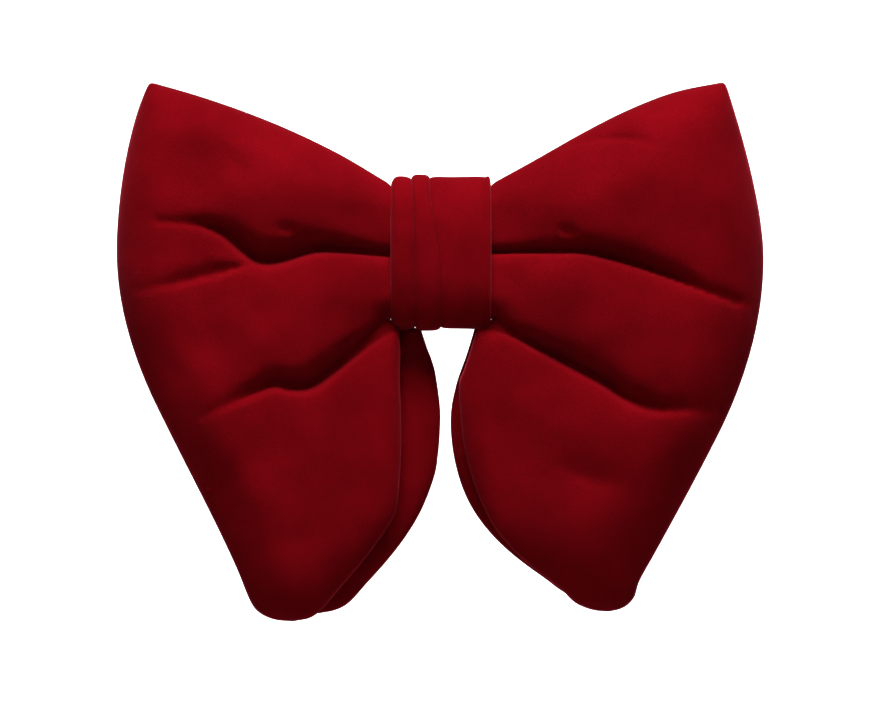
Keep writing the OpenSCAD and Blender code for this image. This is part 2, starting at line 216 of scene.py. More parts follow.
def face_outward(obj):
    """Points every face of a closed mesh outwards."""
    work = bmesh.new()
    work.from_mesh(obj.data)
    bmesh.ops.remove_doubles(work, verts=work.verts, dist=1e-7)
    bmesh.ops.recalc_face_normals(work, faces=work.faces)
    if work.calc_volume(signed=True) < 0:
        bmesh.ops.reverse_faces(work, faces=work.faces)
    work.to_mesh(obj.data)
    work.free()
    return obj


def grid_faces(rows, cols, closed_rows=False):
    """Quads over a grid of points that are numbered row by row."""
    faces = []
    for i in range(rows if closed_rows else rows - 1):
        here, after = i * cols, (i + 1) % rows * cols
        faces += [[here + k, here + k + 1, after + k + 1, after + k] for k in range(cols - 1)]
    return faces


def shell(name, outer, inner, faces):
    """A closed sheet between two surfaces that share their faces, joined round their open edges."""
    count = len(outer)
    edges = {(a, b) for face in faces for a, b in zip(face, face[1:] + face[:1])}
    rim = [[b, a, a + count, b + count] for a, b in edges if (b, a) not in edges]
    back = [[i + count for i in reversed(face)] for face in faces]
    return face_outward(make_object(name, np.vstack([outer, inner]), faces + back + sorted(rim)))


def sweep(name, path, section, closed=False, up=(0, 0, 1)):
    """A closed section, given as (outward, upward) pairs or one such ring for each point, along a path."""
    path = np.asarray(path, float)
    count = len(path)
    if closed:
        tangent = np.roll(path, -1, 0) - np.roll(path, 1, 0)
    else:
        tangent = np.gradient(path, axis=0)
    tangent /= np.linalg.norm(tangent, axis=1, keepdims=True)
    side = np.cross(tangent, np.array(up, float))
    if np.linalg.norm(side, axis=1).min() < 1e-3:  # a path that runs along up
        side = carried_sides(tangent)
    side /= np.linalg.norm(side, axis=1, keepdims=True)
    above = np.cross(side, tangent)
    rings = np.asarray(section, float)
    if rings.ndim == 2:
        rings = np.repeat(rings[None], count, 0)
    points = path[:, None] + rings[:, :, :1] * side[:, None] + rings[:, :, 1:] * above[:, None]
    m = rings.shape[1]
    faces = []
    for i in range(count if closed else count - 1):
        j = (i + 1) % count
        faces += [[i * m + k, i * m + (k + 1) % m, j * m + (k + 1) % m, j * m + k] for k in range(m)]
    if not closed:
        faces += [list(range(m)), [(count - 1) * m + k for k in range(m - 1, -1, -1)]]
    return face_outward(make_object(name, points.reshape(-1, 3), faces))


def carried_sides(tangent):
    """A side direction that turns as little as it can along the path."""
    first = np.cross(tangent[0], [0.0, 1.0, 0.0])
    if np.linalg.norm(first) < 1e-3:
        first = np.cross(tangent[0], [1.0, 0.0, 0.0])
    sides = [first / np.linalg.norm(first)]
    for t in tangent[1:]:
        s = sides[-1] - t * (sides[-1] @ t)
        sides.append(s / np.linalg.norm(s))
    return np.array(sides)


def round_section(radius, sides=14):
    """The section of a round wire or thread."""
    a = np.linspace(0, 2 * math.pi, sides, endpoint=False)
    return np.stack([radius * np.cos(a), radius * np.sin(a)], 1)


def strap_section(thick, half_width, per_corner=4):
    """A flat strap's section with rounded edges and a slightly fuller hem along both sides."""
    r = thick / 2
    a = np.linspace(-math.pi / 2, math.pi / 2, per_corner * 2)
    top = np.stack([r * np.sin(a), half_width - r + r * np.cos(a)], 1)
    hems = np.linspace(half_width - 2 * r, -(half_width - 2 * r), 15)[1:-1]
    swell = 0.94 + 0.06 * np.exp(-((half_width - np.abs(hems)) / 1.6) ** 2)
    right = np.stack([r * swell, hems], 1)
    bottom = -top
    left = np.stack([-r * swell, hems[::-1]], 1)
    return np.vstack([top, right, bottom, left])


def rounded_path(points, radius, steps=6, closed=False):
    """A path with its corners rounded to the radius."""
    points = [np.array(p, float) for p in points]
    out = []
    count = len(points)
    for i, p in enumerate(points):
        if not closed and i in (0, count - 1):
            out.append(p)
            continue
        a, b = points[i - 1] - p, points[(i + 1) % count] - p
        a_len, b_len = np.linalg.norm(a), np.linalg.norm(b)
        a, b = a / a_len, b / b_len
        cut = min(radius, a_len / 2.05, b_len / 2.05)
        for t in np.linspace(0, 1, steps):
            out.append((1 - t) ** 2 * (p + a * cut) + 2 * t * (1 - t) * p + t * t * (p + b * cut))
    return np.array(out)


def ready(obj, body, nodes=(), material=None, blend=None):
    """Gives a finished piece its material and hides the CAD nodes that it stands for. A piece with a blend
    has its transform baked in; any other piece is put under its body.
    """
    if material:
        obj.data.materials.clear()
        obj.data.materials.append(material)
    if blend:
        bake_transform(obj)
    else:
        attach(obj, body)
    if nodes:
        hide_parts(*nodes)
    return obj


# ---------------------------------------------------------------- the wings' folds

# Each fold is a line of (u, z) points from the knot outwards; its strength at its start, middle and end;
# how widely it spreads at those places; its depth; and its reach above and below itself. A fold is
# soft above and sharp below, because each roll of cloth rests on the one under it.
FOLDS = {
    "left_front": [
        ([(9, -1.0), (21, 0.2), (29, 0.4), (36, -1.6), (41, -2.0),
          (45, 0.2), (50, 4), (56, 6), (64, 6.5)],
         (0.7, 1.0, 0.12), (0.3, 1.0, 0.42), 8.0, 7.4, 2.2),
        ([(28, 2.5), (35, 5), (42, 6.5)], (0.0, 1.0, 0.0), (0.9, 1, 0.9), 2.2, 5.0, 5.0),
        ([(38, -1.6), (46, -3.8), (52, -5.4), (62, -8), (70, -9.4)],
         (0.75, 0.9, 0.15), (0.6, 0.9, 0.7), 2.5, 5.2, 1.2),
        ([(3, -17.0), (11, -17.4), (15, -19.6), (21, -24), (26, -28), (30, -30.6), (34, -31), (38, -30.4),
          (42, -32), (47, -34.5), (54, -38)], (0.9, 1.0, 0.08), (0.4, 0.9, 0.6), 7.4, 6.8, 2.6),
        ([(42, 12), (47, 20), (53, 28)], (0.3, 1.0, 0.0), (1, 1, 1), 0.8, 5.0, 5.0),
        ([(44, -50), (52, -56), (58, -60)], (0.0, 1.0, 0.0), (1, 1, 1), 0.5, 6.0, 4.0),
    ],
    "right_front": [
        ([(9, -0.3), (20, 0.0), (27, 0.0), (33, -0.2), (38, -1.2),
          (45, -3.2), (53, -6.2), (60, -9.2), (68, -12)],
         (0.6, 1.0, 0.25), (0.3, 0.85, 0.6), 6.8, 6.4, 1.6),
        ([(25, 7), (29, 4.5), (35, 1.6)], (0.0, 1.0, 0.0), (1, 1, 1), 1.8, 4.2, 4.2),
        ([(24, 22.6), (29, 24.4), (33, 25.4), (38, 25.9), (43, 25.6), (47, 24.6), (52, 22)],
         (0.1, 1.0, 0.0), (1, 1, 1), 1.9, 3.4, 1.2),
        ([(7, -16.6), (12, -17.2), (18, -19.6), (23, -22.2), (28, -24.8), (33, -27.4),
          (38, -30.4), (42, -33.2), (48, -35.8), (53, -36.2), (58, -36.2), (62, -37.4)],
         (0.9, 1.0, 0.12), (0.4, 0.85, 0.8), 7.2, 6.8, 2.6),
        ([(24, -46), (34, -52), (44, -53)], (0.0, 1.0, 0.0), (1, 1, 1), 0.7, 6.0, 4.0),
    ],
    "left_rear": [
        ([(9, 3), (20, 4), (32, 6), (45, 10), (58, 13)], (0.9, 1.0, 0.0), (0.5, 1, 1), 3.6, 6.0, 2.0),
        ([(9, -12), (18, -19), (28, -27), (38, -33), (50, -37)], (0.9, 1.0, 0.0), (0.5, 1, 1), 3.6, 6.0, 2.2),
    ],
    "right_rear": [
        ([(9, 1), (20, 2), (32, 5), (44, 7), (56, 7)], (0.9, 1.0, 0.0), (0.5, 1, 1), 3.6, 6.0, 2.0),
        ([(9, -12), (19, -18), (30, -25), (42, -34), (54, -41)], (0.9, 1.0, 0.0), (0.5, 1, 1), 3.6, 6.0, 2.2),
    ],
}
# Small, shallow folds on the panels that face the other bow.
INNER_FOLDS = [([(9, -6), (22, -12), (36, -20)], (0.8, 0.6, 0.0), (1, 1, 1), 1.2, 4.0, 3.0)]

# A turn of the outline by more degrees than this stays a corner.
CORNER_DEG = 34
# Points across a wing and up it, and how often the points inside are evened out
GRID_S, GRID_T, GRID_ROUNDS = 104, 168, 60
# The share of a wing's inner side, from the knot down to the tip, that counts as its lobe's edge
LOBE_SHARE = 0.3
# How far each bow stands out of the seam's plane where it enters the knot
FRONT_KNOT_DEPTH = 4.4
REAR_KNOT_DEPTH = 3.3
# The distance from the knot over which a wing swells to its full height
SWELL_OVER = 26
# How far a wing's seam lies from the plane between the bows, beyond the knot
SEAM_DEPTH = 3.6
# The height and the rounding of the inner surface, which faces the other bow
INNER_HEIGHT, INNER_ROUNDING = 3.2, 7
# How much of its height an outer surface loses towards the wing's top and its tip
TIP_THINNING = 0.34


def cad_outline(node, side):
    """The outline of a flat CAD panel as (u, z) points, anticlockwise, from its boundary edges."""
    mesh = frame["nodes"][node].data
    points = np.array([v.co for v in mesh.vertices]) / MM
    keys = {}
    level = points[:, 1].min()
    for face in mesh.polygons:
        corners = [points[i] for i in face.vertices]
        if max(abs(c[1] - level) for c in corners) > 1e-3:
            continue
        ids = [(round(float(c[0]), 3), round(float(c[2]), 3)) for c in corners]
        for a, b in zip(ids, ids[1:] + ids[:1]):
            if keys.pop((b, a), None) is None:
                keys[(a, b)] = True
    follow = {a: b for a, b in keys}
    start = next(iter(follow))
    loop = [start]
    while follow[loop[-1]] != start:
        loop.append(follow[loop[-1]])
    line = np.array([(side * x, z) for x, z in loop])
    area = (line[:, 0] * np.roll(line[:, 1], -1) - line[:, 1] * np.roll(line[:, 0], -1)).sum()
    return line if area > 0 else line[::-1]


def tucked(inner, top):
    """The wing's inner side, with its lobe carried up to the knot's underside, which hides its end."""
    under = [(u, -KNOT_HALF_H - gap) for u, gap in top]
    kept = inner[int(np.argmax(inner[:, 1] < under[-1][1] - 2)) :]
    return np.vstack([(inner[0, 0], under[0][1]), *under, kept])


def wing_sides(node, side, top):
    """The outline's sides below, outside and above, round from its longest edge, which is the knot's."""
    loop = cad_outline(node, side)
    edge = np.linalg.norm(np.roll(loop, -1, axis=0) - loop, axis=1)
    loop = np.roll(loop, -int(np.argmax(edge)) - 1, axis=0)
    tip = int(np.argmin(loop[:, 1]))
    horn = int(np.argmax(loop[:, 1]))
    inner = flowing(tucked(loop[: tip + 1], top), corner_deg=CORNER_DEG)
    outer = flowing(loop[tip : horn + 1], corner_deg=CORNER_DEG)
    upper = flowing(loop[horn:], corner_deg=CORNER_DEG)
    return inner, outer, upper


def clustered(count, ends):
    """Shares from 0 to 1 that draw together towards both ends."""
    t = np.linspace(0, 1, count)
    return (1 - ends) * t + ends * (0.5 - 0.5 * np.cos(math.pi * t))


def wing_grid(node, side, top):
    """A grid of (u, z) points over a wing: rows from the tip up to the top, columns from knot to outside."""
    inner, outer, upper = wing_sides(node, side, top)
    run = lengths_along(inner)
    at = int(np.searchsorted(run, LOBE_SHARE * run[-1]))
    lobe, bottom = inner[: at + 1][::-1], inner[at:]
    knot_edge = np.array([lobe[-1], upper[-1]])
    lobe_len, edge_len = lengths_along(lobe)[-1], lengths_along(knot_edge)[-1]
    lobe_rows = round(GRID_T * lobe_len / (lobe_len + edge_len))
    left = np.vstack([
        resample(lobe, np.linspace(0, 1, lobe_rows, endpoint=False)),
        resample(knot_edge, np.linspace(0, 1, GRID_T - lobe_rows)),
    ])
    across = clustered(GRID_S, 0.45)
    right = resample(outer, clustered(GRID_T, 0.35))
    low = resample(bottom, across)
    high = resample(upper[::-1], across)
    s = across[None, :, None]
    t = np.linspace(0, 1, GRID_T)[:, None, None]
    grid = (
        (1 - s) * left[:, None] + s * right[:, None] + (1 - t) * low[None] + t * high[None]
        - (1 - s) * (1 - t) * low[0] - s * (1 - t) * low[-1] - (1 - s) * t * high[0] - s * t * high[-1]
    )
    for _ in range(GRID_ROUNDS):
        grid[1:-1, 1:-1] = (grid[:-2, 1:-1] + grid[2:, 1:-1] + grid[1:-1, :-2] + grid[1:-1, 2:]) / 4
    round_horn(grid)
    seam = np.vstack([lobe[::-1], bottom, outer, upper])
    return grid, seam, lobe_rows


def round_horn(grid, reach=7, rounds=9):
    """Rounds the wing's upper outer corner, where the cloth was turned right side out."""
    corner = np.vstack([grid[-1 - reach :, -1], grid[-1, -2 : -2 - reach : -1]])
    for _ in range(rounds):
        corner[1:-1] = (corner[:-2] + 2 * corner[1:-1] + corner[2:]) / 4
    grid[-1 - reach :, -1] = corner[: reach + 1]
    grid[-1, -2 : -2 - reach : -1] = corner[reach + 1 :]


def calm(field, rounds):
    """Evens out a grid of values inside its border, which stays."""
    field = field.copy()
    for _ in range(rounds):
        around = (field[:-2, 1:-1] + field[2:, 1:-1] + field[1:-1, :-2] + field[1:-1, 2:]) / 4
        field[1:-1, 1:-1] = mix(field[1:-1, 1:-1], around, 0.7)
    return field


# Cloth beside a fold is drawn towards it by this share of the distance at most.
DRAW_IN = 0.26
# A fold less deep than this draws less.
DEEP_FOLD = 7.0


def three_way(values, share):
    """A smooth run from the first of three values through the middle one to the last."""
    first, middle, last = values
    rising = mix(first, middle, smooth(share * 2))
    return np.where(share < 0.5, rising, mix(middle, last, smooth(share * 2 - 1)))


def fold_depth(points, folds):
    """How far the folds pull the cloth in at each point, and how far they draw it together in the plane."""
    total = np.zeros(len(points))
    drawn = np.zeros_like(points)
    for line, strengths, spreads, depth, above, below in folds:
        line = flowing(line)
        d, side, share = nearest(points, line)
        strength, spread = three_way(strengths, share), three_way(spreads, share)
        reach = np.where(side > 0, above, below) * spread
        core = np.exp(-((d / (0.5 * reach)) ** 2))
        wide = np.exp(-d / np.where(side > 0, 0.9 * reach, 2.2 * reach))
        pull = strength * depth * (0.6 * core + 0.4 * wide)
        total = np.maximum(total, pull) + 0.25 * np.minimum(total, pull)
        deepness = min(1, (depth / DEEP_FOLD) ** 2)
        closer = DRAW_IN * deepness * strength * np.exp(-d / reach) * np.where(side > 0, 1.0, 0.45)
        toward = nearest_point(points, line) - points
        drawn += toward * closer[:, None]
    return total, drawn


def pillow(points, seam_distance, knot_height, height, rounding, fold, seed, drop):
    """Height of a stuffed panel over its seam plane."""
    u, z = points[:, 0], points[:, 1]
    away = smooth((u - KNOT_HALF_W) / SWELL_OVER)
    full = mix(knot_height, height, away) * (1 - drop * ((z + 14) / 70) ** 2)
    reach = mix(6.0, rounding, away)
    edge = np.clip(seam_distance / reach, 0, 1)
    profile = (1 - (1 - edge) ** 2) ** 0.6
    pull = full * profile
    pull = pull - np.minimum(fold * np.minimum(1, profile * 1.25), 0.8 * pull)
    waves = 0.75 * lumps(points, 17, seed) + 0.3 * lumps(points, 7, seed + 1)
    pucker = 0.16 * lumps(points, 2.6, seed + 2) * np.exp(-seam_distance / 4)
    return pull + (waves + pucker) * np.minimum(profile, 1) * mix(0.35, 1, away)


# The cloth is simulated this many times its size, on every second row and column, to keep the solver steady.
CLOTH_SCALE = 5.0
CLOTH_STEP = 2
CLOTH_FRAMES = 20
CLOTH_PRESSURE = 3.2
# The share by which the cloth is cut larger than the shape that it fills
CLOTH_EASE = 0.02
# The most that the simulation may move a point, and how often its moves are evened out
CLOTH_REACH = 0.9
CLOTH_ROUNDS = 24
# A fold this deep would hold its cloth fast, but no point inside is held by more than this share.
HOLDING_DEPTH, HOLDING_MOST = 2.6, 0.92
# The distance from the seam over which the simulation's moves fade in
FREE_OVER = 14


def inflate(grid, pinned):
    """Swells a grid of cloth with Blender's cloth simulation, and returns how far each point moved."""
    rows, cols = np.arange(0, grid.shape[0], CLOTH_STEP), np.arange(0, grid.shape[1], CLOTH_STEP)
    rows, cols = np.union1d(rows, [grid.shape[0] - 1]), np.union1d(cols, [grid.shape[1] - 1])
    coarse = grid[np.ix_(rows, cols)]
    obj = make_object("cloth_in_work", coarse.reshape(-1, 3) * CLOTH_SCALE, grid_faces(len(rows), len(cols)))
    group = obj.vertex_groups.new(name="held")
    for i, weight in enumerate(pinned[np.ix_(rows, cols)].ravel()):
        group.add([i], float(weight), "REPLACE")
    cloth = obj.modifiers.new("Cloth", "CLOTH")
    cloth.settings.quality = 6
    cloth.settings.mass = 0.25
    cloth.settings.tension_stiffness = cloth.settings.compression_stiffness = 18
    cloth.settings.shear_stiffness = 8
    cloth.settings.bending_stiffness = 3.0
    cloth.settings.air_damping = 3
    cloth.settings.vertex_group_mass = "held"
    cloth.settings.pin_stiffness = 1.0
    cloth.settings.shrink_min = -CLOTH_EASE
    cloth.settings.use_pressure = True
    cloth.settings.uniform_pressure_force = CLOTH_PRESSURE
    cloth.settings.effector_weights.gravity = 0
    cloth.collision_settings.use_collision = False
    cloth.point_cache.frame_start, cloth.point_cache.frame_end = 1, CLOTH_FRAMES
    scene = bpy.context.scene
    for number in range(1, CLOTH_FRAMES + 1):
        scene.frame_set(number)
    evaluated = obj.evaluated_get(bpy.context.evaluated_depsgraph_get())
    after = np.array([v.co for v in evaluated.to_mesh().vertices]) / MM / CLOTH_SCALE
    evaluated.to_mesh_clear()
    move = after.reshape(coarse.shape) - coarse
    scene.frame_set(1)
    mesh = obj.data
    bpy.data.objects.remove(obj)
    bpy.data.meshes.remove(mesh)
    size = np.linalg.norm(move, axis=2, keepdims=True)
    move *= np.minimum(1, CLOTH_REACH / np.maximum(size, 1e-9))
    for _ in range(CLOTH_ROUNDS):
        inner = (move[:-2, 1:-1] + move[2:, 1:-1] + move[1:-1, :-2] + move[1:-1, 2:]) / 4
        move[1:-1, 1:-1] = mix(move[1:-1, 1:-1], inner, 0.5)
    fine_rows = np.stack([
        [np.interp(np.arange(grid.shape[0]), rows, move[:, k, a]) for k in range(len(cols))] for a in range(3)
    ])
    fine = np.stack([
        [np.interp(np.arange(grid.shape[1]), cols, fine_rows[a, :, i]) for i in range(grid.shape[0])]
        for a in range(3)
    ], axis=-1)
    return fine


# ---------------------------------------------------------------- building a wing

WINGS = {
    # name: (side, facing, flat CAD panel, height, rounding, seed)
    "left_front": (-1, -1, "left_front_wing_back_panel", 12.6, 17, 3),
    "right_front": (1, -1, "right_front_wing_back_panel", 12.6, 17, 11),
    "left_rear": (-1, 1, "left_rear_wing_face_panel", 7.6, 15, 23),
    "right_rear": (1, 1, "right_rear_wing_face_panel", 7.6, 15, 31),
}
# Where each lobe comes out from under the knot: distances from the middle, and below the knot's edge.
LOBE_TOPS = {
    "left_front": [(11.8, -2.4), (10.5, -0.6), (9.7, -0.35), (9.5, 3.0), (9.4, 6.0)],
    "right_front": [(11.8, -2.4), (10.5, -0.6), (8.4, -0.35), (6.7, 5.3), (5.3, 9.5), (4.2, 12.8)],
    "left_rear": [(11.8, -2.4), (10.5, -0.6), (4.7, -0.35), (3.3, 4.0), (2.1, 7.2), (1.2, 10.6)],
    "right_rear": [(11.8, -2.4), (10.5, -0.6), (7.9, -0.35), (6.2, 5.3), (4.7, 9.5), (3.6, 12.8)],
}
# The cloth that runs on into the knot: its columns, and how far from the middle it ends
NECK_COLUMNS = 6
NECK_END = 7.5
# Two distances from the middle that each wing carries in its blend.
FLEX_FROM, FLEX_TO = 10.5, 34
# The wadding stays this far inside the cloth, and its sides this far from its middle at least.
WADDING_GAP = 0.15
WADDING_THINNEST = 0.06


def wing_surfaces(name):
    """A stuffed wing's outer and inner surfaces, its seam's plane, and how many rows are its lobe's."""
    side, facing, flat_node, height, rounding, seed = WINGS[name]
    grid, seam, lobe_rows = wing_grid(flat_node, side, LOBE_TOPS[name])
    rows, cols = grid.shape[:2]
    points = grid.reshape(-1, 2)
    seam_distance = nearest(points, seam)[0].reshape(rows, cols)
    seam_distance[[0, -1]] = seam_distance[:, -1] = seam_distance[:lobe_rows, 0] = 0
    seam_distance = calm(seam_distance, 70).ravel()
    knot_depth = FRONT_KNOT_DEPTH if facing < 0 else REAR_KNOT_DEPTH
    away = smooth((points[:, 0] - KNOT_HALF_W) / SWELL_OVER)
    seam_depth = mix(knot_depth - 0.2, SEAM_DEPTH, away)
    fold, drawn = fold_depth(points, FOLDS[name])
    high = pillow(points, seam_distance, knot_depth, height, rounding, fold, seed, TIP_THINNING)
    inner_fold = fold_depth(points, INNER_FOLDS)[0]
    low_knot = knot_depth - 0.4
    low = pillow(points, seam_distance, low_knot, INNER_HEIGHT, INNER_ROUNDING, inner_fold, seed + 5, 0.0)
    low = np.minimum(low, seam_depth - 0.05)
    drawn *= smooth(seam_distance / 6)[:, None]
    middle = LAYER_Y + facing * (LAYER_GAP + seam_depth)

    def place(depth, at):
        return np.stack([side * at[:, 0], middle + facing * depth, at[:, 1]], 1).reshape(rows, cols, 3)

    outer = place(high, points + drawn)
    inner = place(-low, points)
    pinned = np.clip(fold.reshape(rows, cols) / HOLDING_DEPTH, 0, HOLDING_MOST)
    pinned[[0, -1]] = 1
    pinned[:, [0, -1]] = 1
    free = smooth(seam_distance / FREE_OVER).reshape(rows, cols, 1)
    outer = outer + inflate(outer, pinned) * free
    return outer, inner, middle.reshape(rows, cols), lobe_rows


def with_neck(surface, side, middle_y, lobe_rows):
    """Adds the stretch of cloth that runs on from the wing's straight edge into the knot."""
    edge = surface[lobe_rows:, 0]
    neck = []
    for k in range(1, NECK_COLUMNS + 1):
        t = k / NECK_COLUMNS
        flatter = mix(1, 0.86, smooth(2 * t - 0.3))
        # The lower half starts to narrow later than the upper one.
        narrower = mix(1, 0.84, smooth(2 * t - np.where(edge[:, 2] < 0, 0.66, 0)))
        x = mix(edge[:, 0], side * NECK_END, t)
        y = middle_y[lobe_rows:, 0] + (edge[:, 1] - middle_y[lobe_rows:, 0]) * flatter
        z = edge[:, 2] * narrower
        neck.append(np.stack([x, y, z], 1))
    return np.vstack([surface.reshape(-1, 3), np.array(neck).reshape(-1, 3)])


def wing_faces(rows, cols, lobe_rows):
    """Quads over a wing's grid and over its neck."""
    faces = grid_faces(rows, cols)
    edge_rows = rows - lobe_rows
    base = rows * cols

    def neck_id(k, i):
        return (lobe_rows + i) * cols if k == 0 else base + (k - 1) * edge_rows + i

    for k in range(NECK_COLUMNS):
        for i in range(edge_rows - 1):
            faces.append([neck_id(k + 1, i), neck_id(k, i), neck_id(k, i + 1), neck_id(k + 1, i + 1)])
    return faces


def inset(points, faces, distance):
    """The points moved in along their surface's normals."""
    normal = np.zeros_like(points)
    f = np.array(faces)
    cross = np.cross(points[f[:, 2]] - points[f[:, 0]], points[f[:, 3]] - points[f[:, 1]])
    for k in range(4):
        np.add.at(normal, f[:, k], cross)
    normal /= np.maximum(np.linalg.norm(normal, axis=1, keepdims=True), 1e-9)
    return points - normal * distance


def build_wing(name, velvet, wadding, cloth_mm):
    """A wing's face panel, its back panel and the wadding between them."""
    side, facing = WINGS[name][:2]
    outer, inner, middle, lobe_rows = wing_surfaces(name)
    faces = wing_faces(outer.shape[0], outer.shape[1], lobe_rows)
    outer = with_neck(outer, side, middle, lobe_rows)
    inner = with_neck(inner, side, middle, lobe_rows)
    # The faces turn the same way on both surfaces, so that inwards has opposite signs.
    turn = -side * facing
    outer_in = inset(outer, faces, turn * cloth_mm)
    inner_in = inset(inner, faces, -turn * cloth_mm)
    first, second = ("face", "back") if facing < 0 else ("back", "face")
    wad_out = inset(outer, faces, turn * (cloth_mm + WADDING_GAP))
    wad_in = inset(inner, faces, -turn * (cloth_mm + WADDING_GAP))
    level = np.concatenate([middle.ravel(), np.tile(middle[lobe_rows:, 0], NECK_COLUMNS)])
    wad_out[:, 1] = level + facing * np.maximum(facing * (wad_out[:, 1] - level), WADDING_THINNEST)
    wad_in[:, 1] = level - facing * np.maximum(-facing * (wad_in[:, 1] - level), WADDING_THINNEST)
    bend = (f"{name}_wing", (side * FLEX_FROM * MM, 0, 0), (side * FLEX_TO * MM, 0, 0))
    pieces = (
        (f"{name}_wing_{first}_panel", "_velvet", outer, outer_in, "bow_velvet", velvet),
        (f"{name}_wing_{second}_panel", "_velvet", inner, inner_in, "bow_velvet", velvet),
        (f"{name}_wing_wadding", "_fibre", wad_out, wad_in, "wadding", wadding),
    )
    for node, kind, one_side, other_side, slot, material in pieces:
        piece = shell(node + kind, one_side, other_side, faces)
        ready(piece, HOME, [node], material, bend)


# ---------------------------------------------------------------- materials

def new_material(name, base, roughness):
    """A material of one colour and roughness, with its node tree and its shader."""
    mat = bpy.data.materials.new(name)
    mat.use_nodes = True
    tree = mat.node_tree
    shader = tree.nodes["Principled BSDF"]
    shader.inputs["Base Color"].default_value = (*base[:3], 1)
    shader.inputs["Roughness"].default_value = roughness
    return mat, tree, shader


def noise_node(tree, coords, scale, detail=2.0, rough=0.5):
    """Noise on the coordinates, with about as many lumps to the metre as its scale."""
    node = tree.nodes.new("ShaderNodeTexNoise")
    node.inputs["Scale"].default_value = scale
    node.inputs["Detail"].default_value = detail
    node.inputs["Roughness"].default_value = rough
    tree.links.new(coords, node.inputs["Vector"])
    return node.outputs["Fac"]


def ramp_node(tree, factor, stops):
    """A colour ramp from a factor through (position, colour) stops."""
    node = tree.nodes.new("ShaderNodeValToRGB")
    ramp = node.color_ramp
    while len(ramp.elements) < len(stops):
        ramp.elements.new(0.5)
    for element, (position, colour) in zip(ramp.elements, stops):
        element.position = position
        element.color = (*colour[:3], 1)
    tree.links.new(factor, node.inputs["Fac"])
    return node.outputs["Color"]


def bump_node(tree, height, strength, distance, before=None):
    """A bumped normal from a height, on top of an earlier one if there is one."""
    node = tree.nodes.new("ShaderNodeBump")
    node.inputs["Strength"].default_value = strength
    node.inputs["Distance"].default_value = distance
    tree.links.new(height, node.inputs["Height"])
    if before:
        tree.links.new(before, node.inputs["Normal"])
    return node.outputs["Normal"]


def math_node(tree, operation, *values):
    """One mathematical operation on numbers and sockets."""
    node = tree.nodes.new("ShaderNodeMath")
    node.operation = operation
    for socket, value in zip(node.inputs, values):
        if isinstance(value, (int, float)):
            socket.default_value = value
        else:
            tree.links.new(value, socket)
    return node.outputs[0]


def object_coords(tree):
    """Coordinates that stay with the piece."""
    return tree.nodes.new("ShaderNodeTexCoord").outputs["Object"]


def shade(colour, by):
    """A colour made darker or lighter."""
    return tuple(min(1.0, c * by) for c in colour[:3])


def velvet_material(name, colour, pile_m, sheen):
    """Cut pile: dark where one looks into it, with a soft bloom at the edges and faint brushed patches."""
    mat, tree, shader = new_material(name, colour, 0.92)
    coords = object_coords(tree)
    patches = noise_node(tree, coords, 55, 3, 0.55)
    specks = noise_node(tree, coords, 1 / pile_m, 2, 0.7)
    brushed = math_node(tree, "MULTIPLY_ADD", specks, 0.34, math_node(tree, "MULTIPLY", patches, 0.66))
    stops = [(0.3, shade(colour, 0.74)), (0.5, colour), (0.7, shade(colour, 1.26))]
    tree.links.new(ramp_node(tree, brushed, stops), shader.inputs["Base Color"])
    pile = bump_node(tree, specks, 0.5, pile_m * 0.5)
    tree.links.new(bump_node(tree, patches, 0.25, 0.0012, pile), shader.inputs["Normal"])
    shader.inputs["Specular IOR Level"].default_value = 0.0
    shader.inputs["Sheen Weight"].default_value = sheen
    shader.inputs["Sheen Roughness"].default_value = 0.38
    shader.inputs["Sheen Tint"].default_value = (1.0, 0.09, 0.14, 1)
    return mat


def nickel_material(colour):
    """Bright plated wire with fine drawing marks and a few duller patches."""
    mat, tree, shader = new_material("plated_nickel", colour, 0.24)
    coords = object_coords(tree)
    marks = noise_node(tree, coords, 2600, 2, 0.6)
    dull = noise_node(tree, coords, 260, 3, 0.6)
    rough = [(0.35, (0.2,) * 3), (0.7, (0.34,) * 3)]
    tree.links.new(ramp_node(tree, dull, rough), shader.inputs["Roughness"])
    stops = [(0.3, shade(colour, 0.86)), (0.65, colour)]
    tree.links.new(ramp_node(tree, dull, stops), shader.inputs["Base Color"])
    tree.links.new(bump_node(tree, marks, 0.18, 0.00008), shader.inputs["Normal"])
    shader.inputs["Metallic"].default_value = 1.0
    return mat


def thread_material(colour):
    """Twisted polyester thread."""
    mat, tree, shader = new_material("sewing_thread", colour, 0.55)
    coords = object_coords(tree)
    fibres = noise_node(tree, coords, 5200, 2, 0.6)
    stops = [(0.3, shade(colour, 0.6)), (0.7, shade(colour, 1.5))]
    tree.links.new(ramp_node(tree, fibres, stops), shader.inputs["Base Color"])
    tree.links.new(bump_node(tree, fibres, 0.6, 0.0001), shader.inputs["Normal"])
    shader.inputs["Sheen Weight"].default_value = 0.2
    return mat


def fibre_material(name, colour, size_m, strength):
    """Loose white stuffing, or the felted stiffening under the knot."""
    mat, tree, shader = new_material(name, colour, 0.95)
    coords = object_coords(tree)
    tangle = noise_node(tree, coords, 1 / size_m, 5, 0.75)
    stops = [(0.3, shade(colour, 0.82)), (0.7, colour)]
    tree.links.new(ramp_node(tree, tangle, stops), shader.inputs["Base Color"])
    tree.links.new(bump_node(tree, tangle, strength, size_m), shader.inputs["Normal"])
    shader.inputs["Sheen Weight"].default_value = 0.3
    return mat


# ---------------------------------------------------------------- the knot

# The power of the rounded box that is the knot's section, and the points round it
KNOT_ROUND = 2.45
KNOT_TURNS = 132
# The lift of each part of the wrap over one common level, at the front and then at the back
PLEAT_LIFT = 1.1
RAISED_PLEAT_LIFT = 1.6
PANEL_LIFT = 1.0
HEM_LIFT = 0.98
BACK_LIFT = 1.55, 1.6, 1.6, 1.5
HEM_WIDTH = 1.45
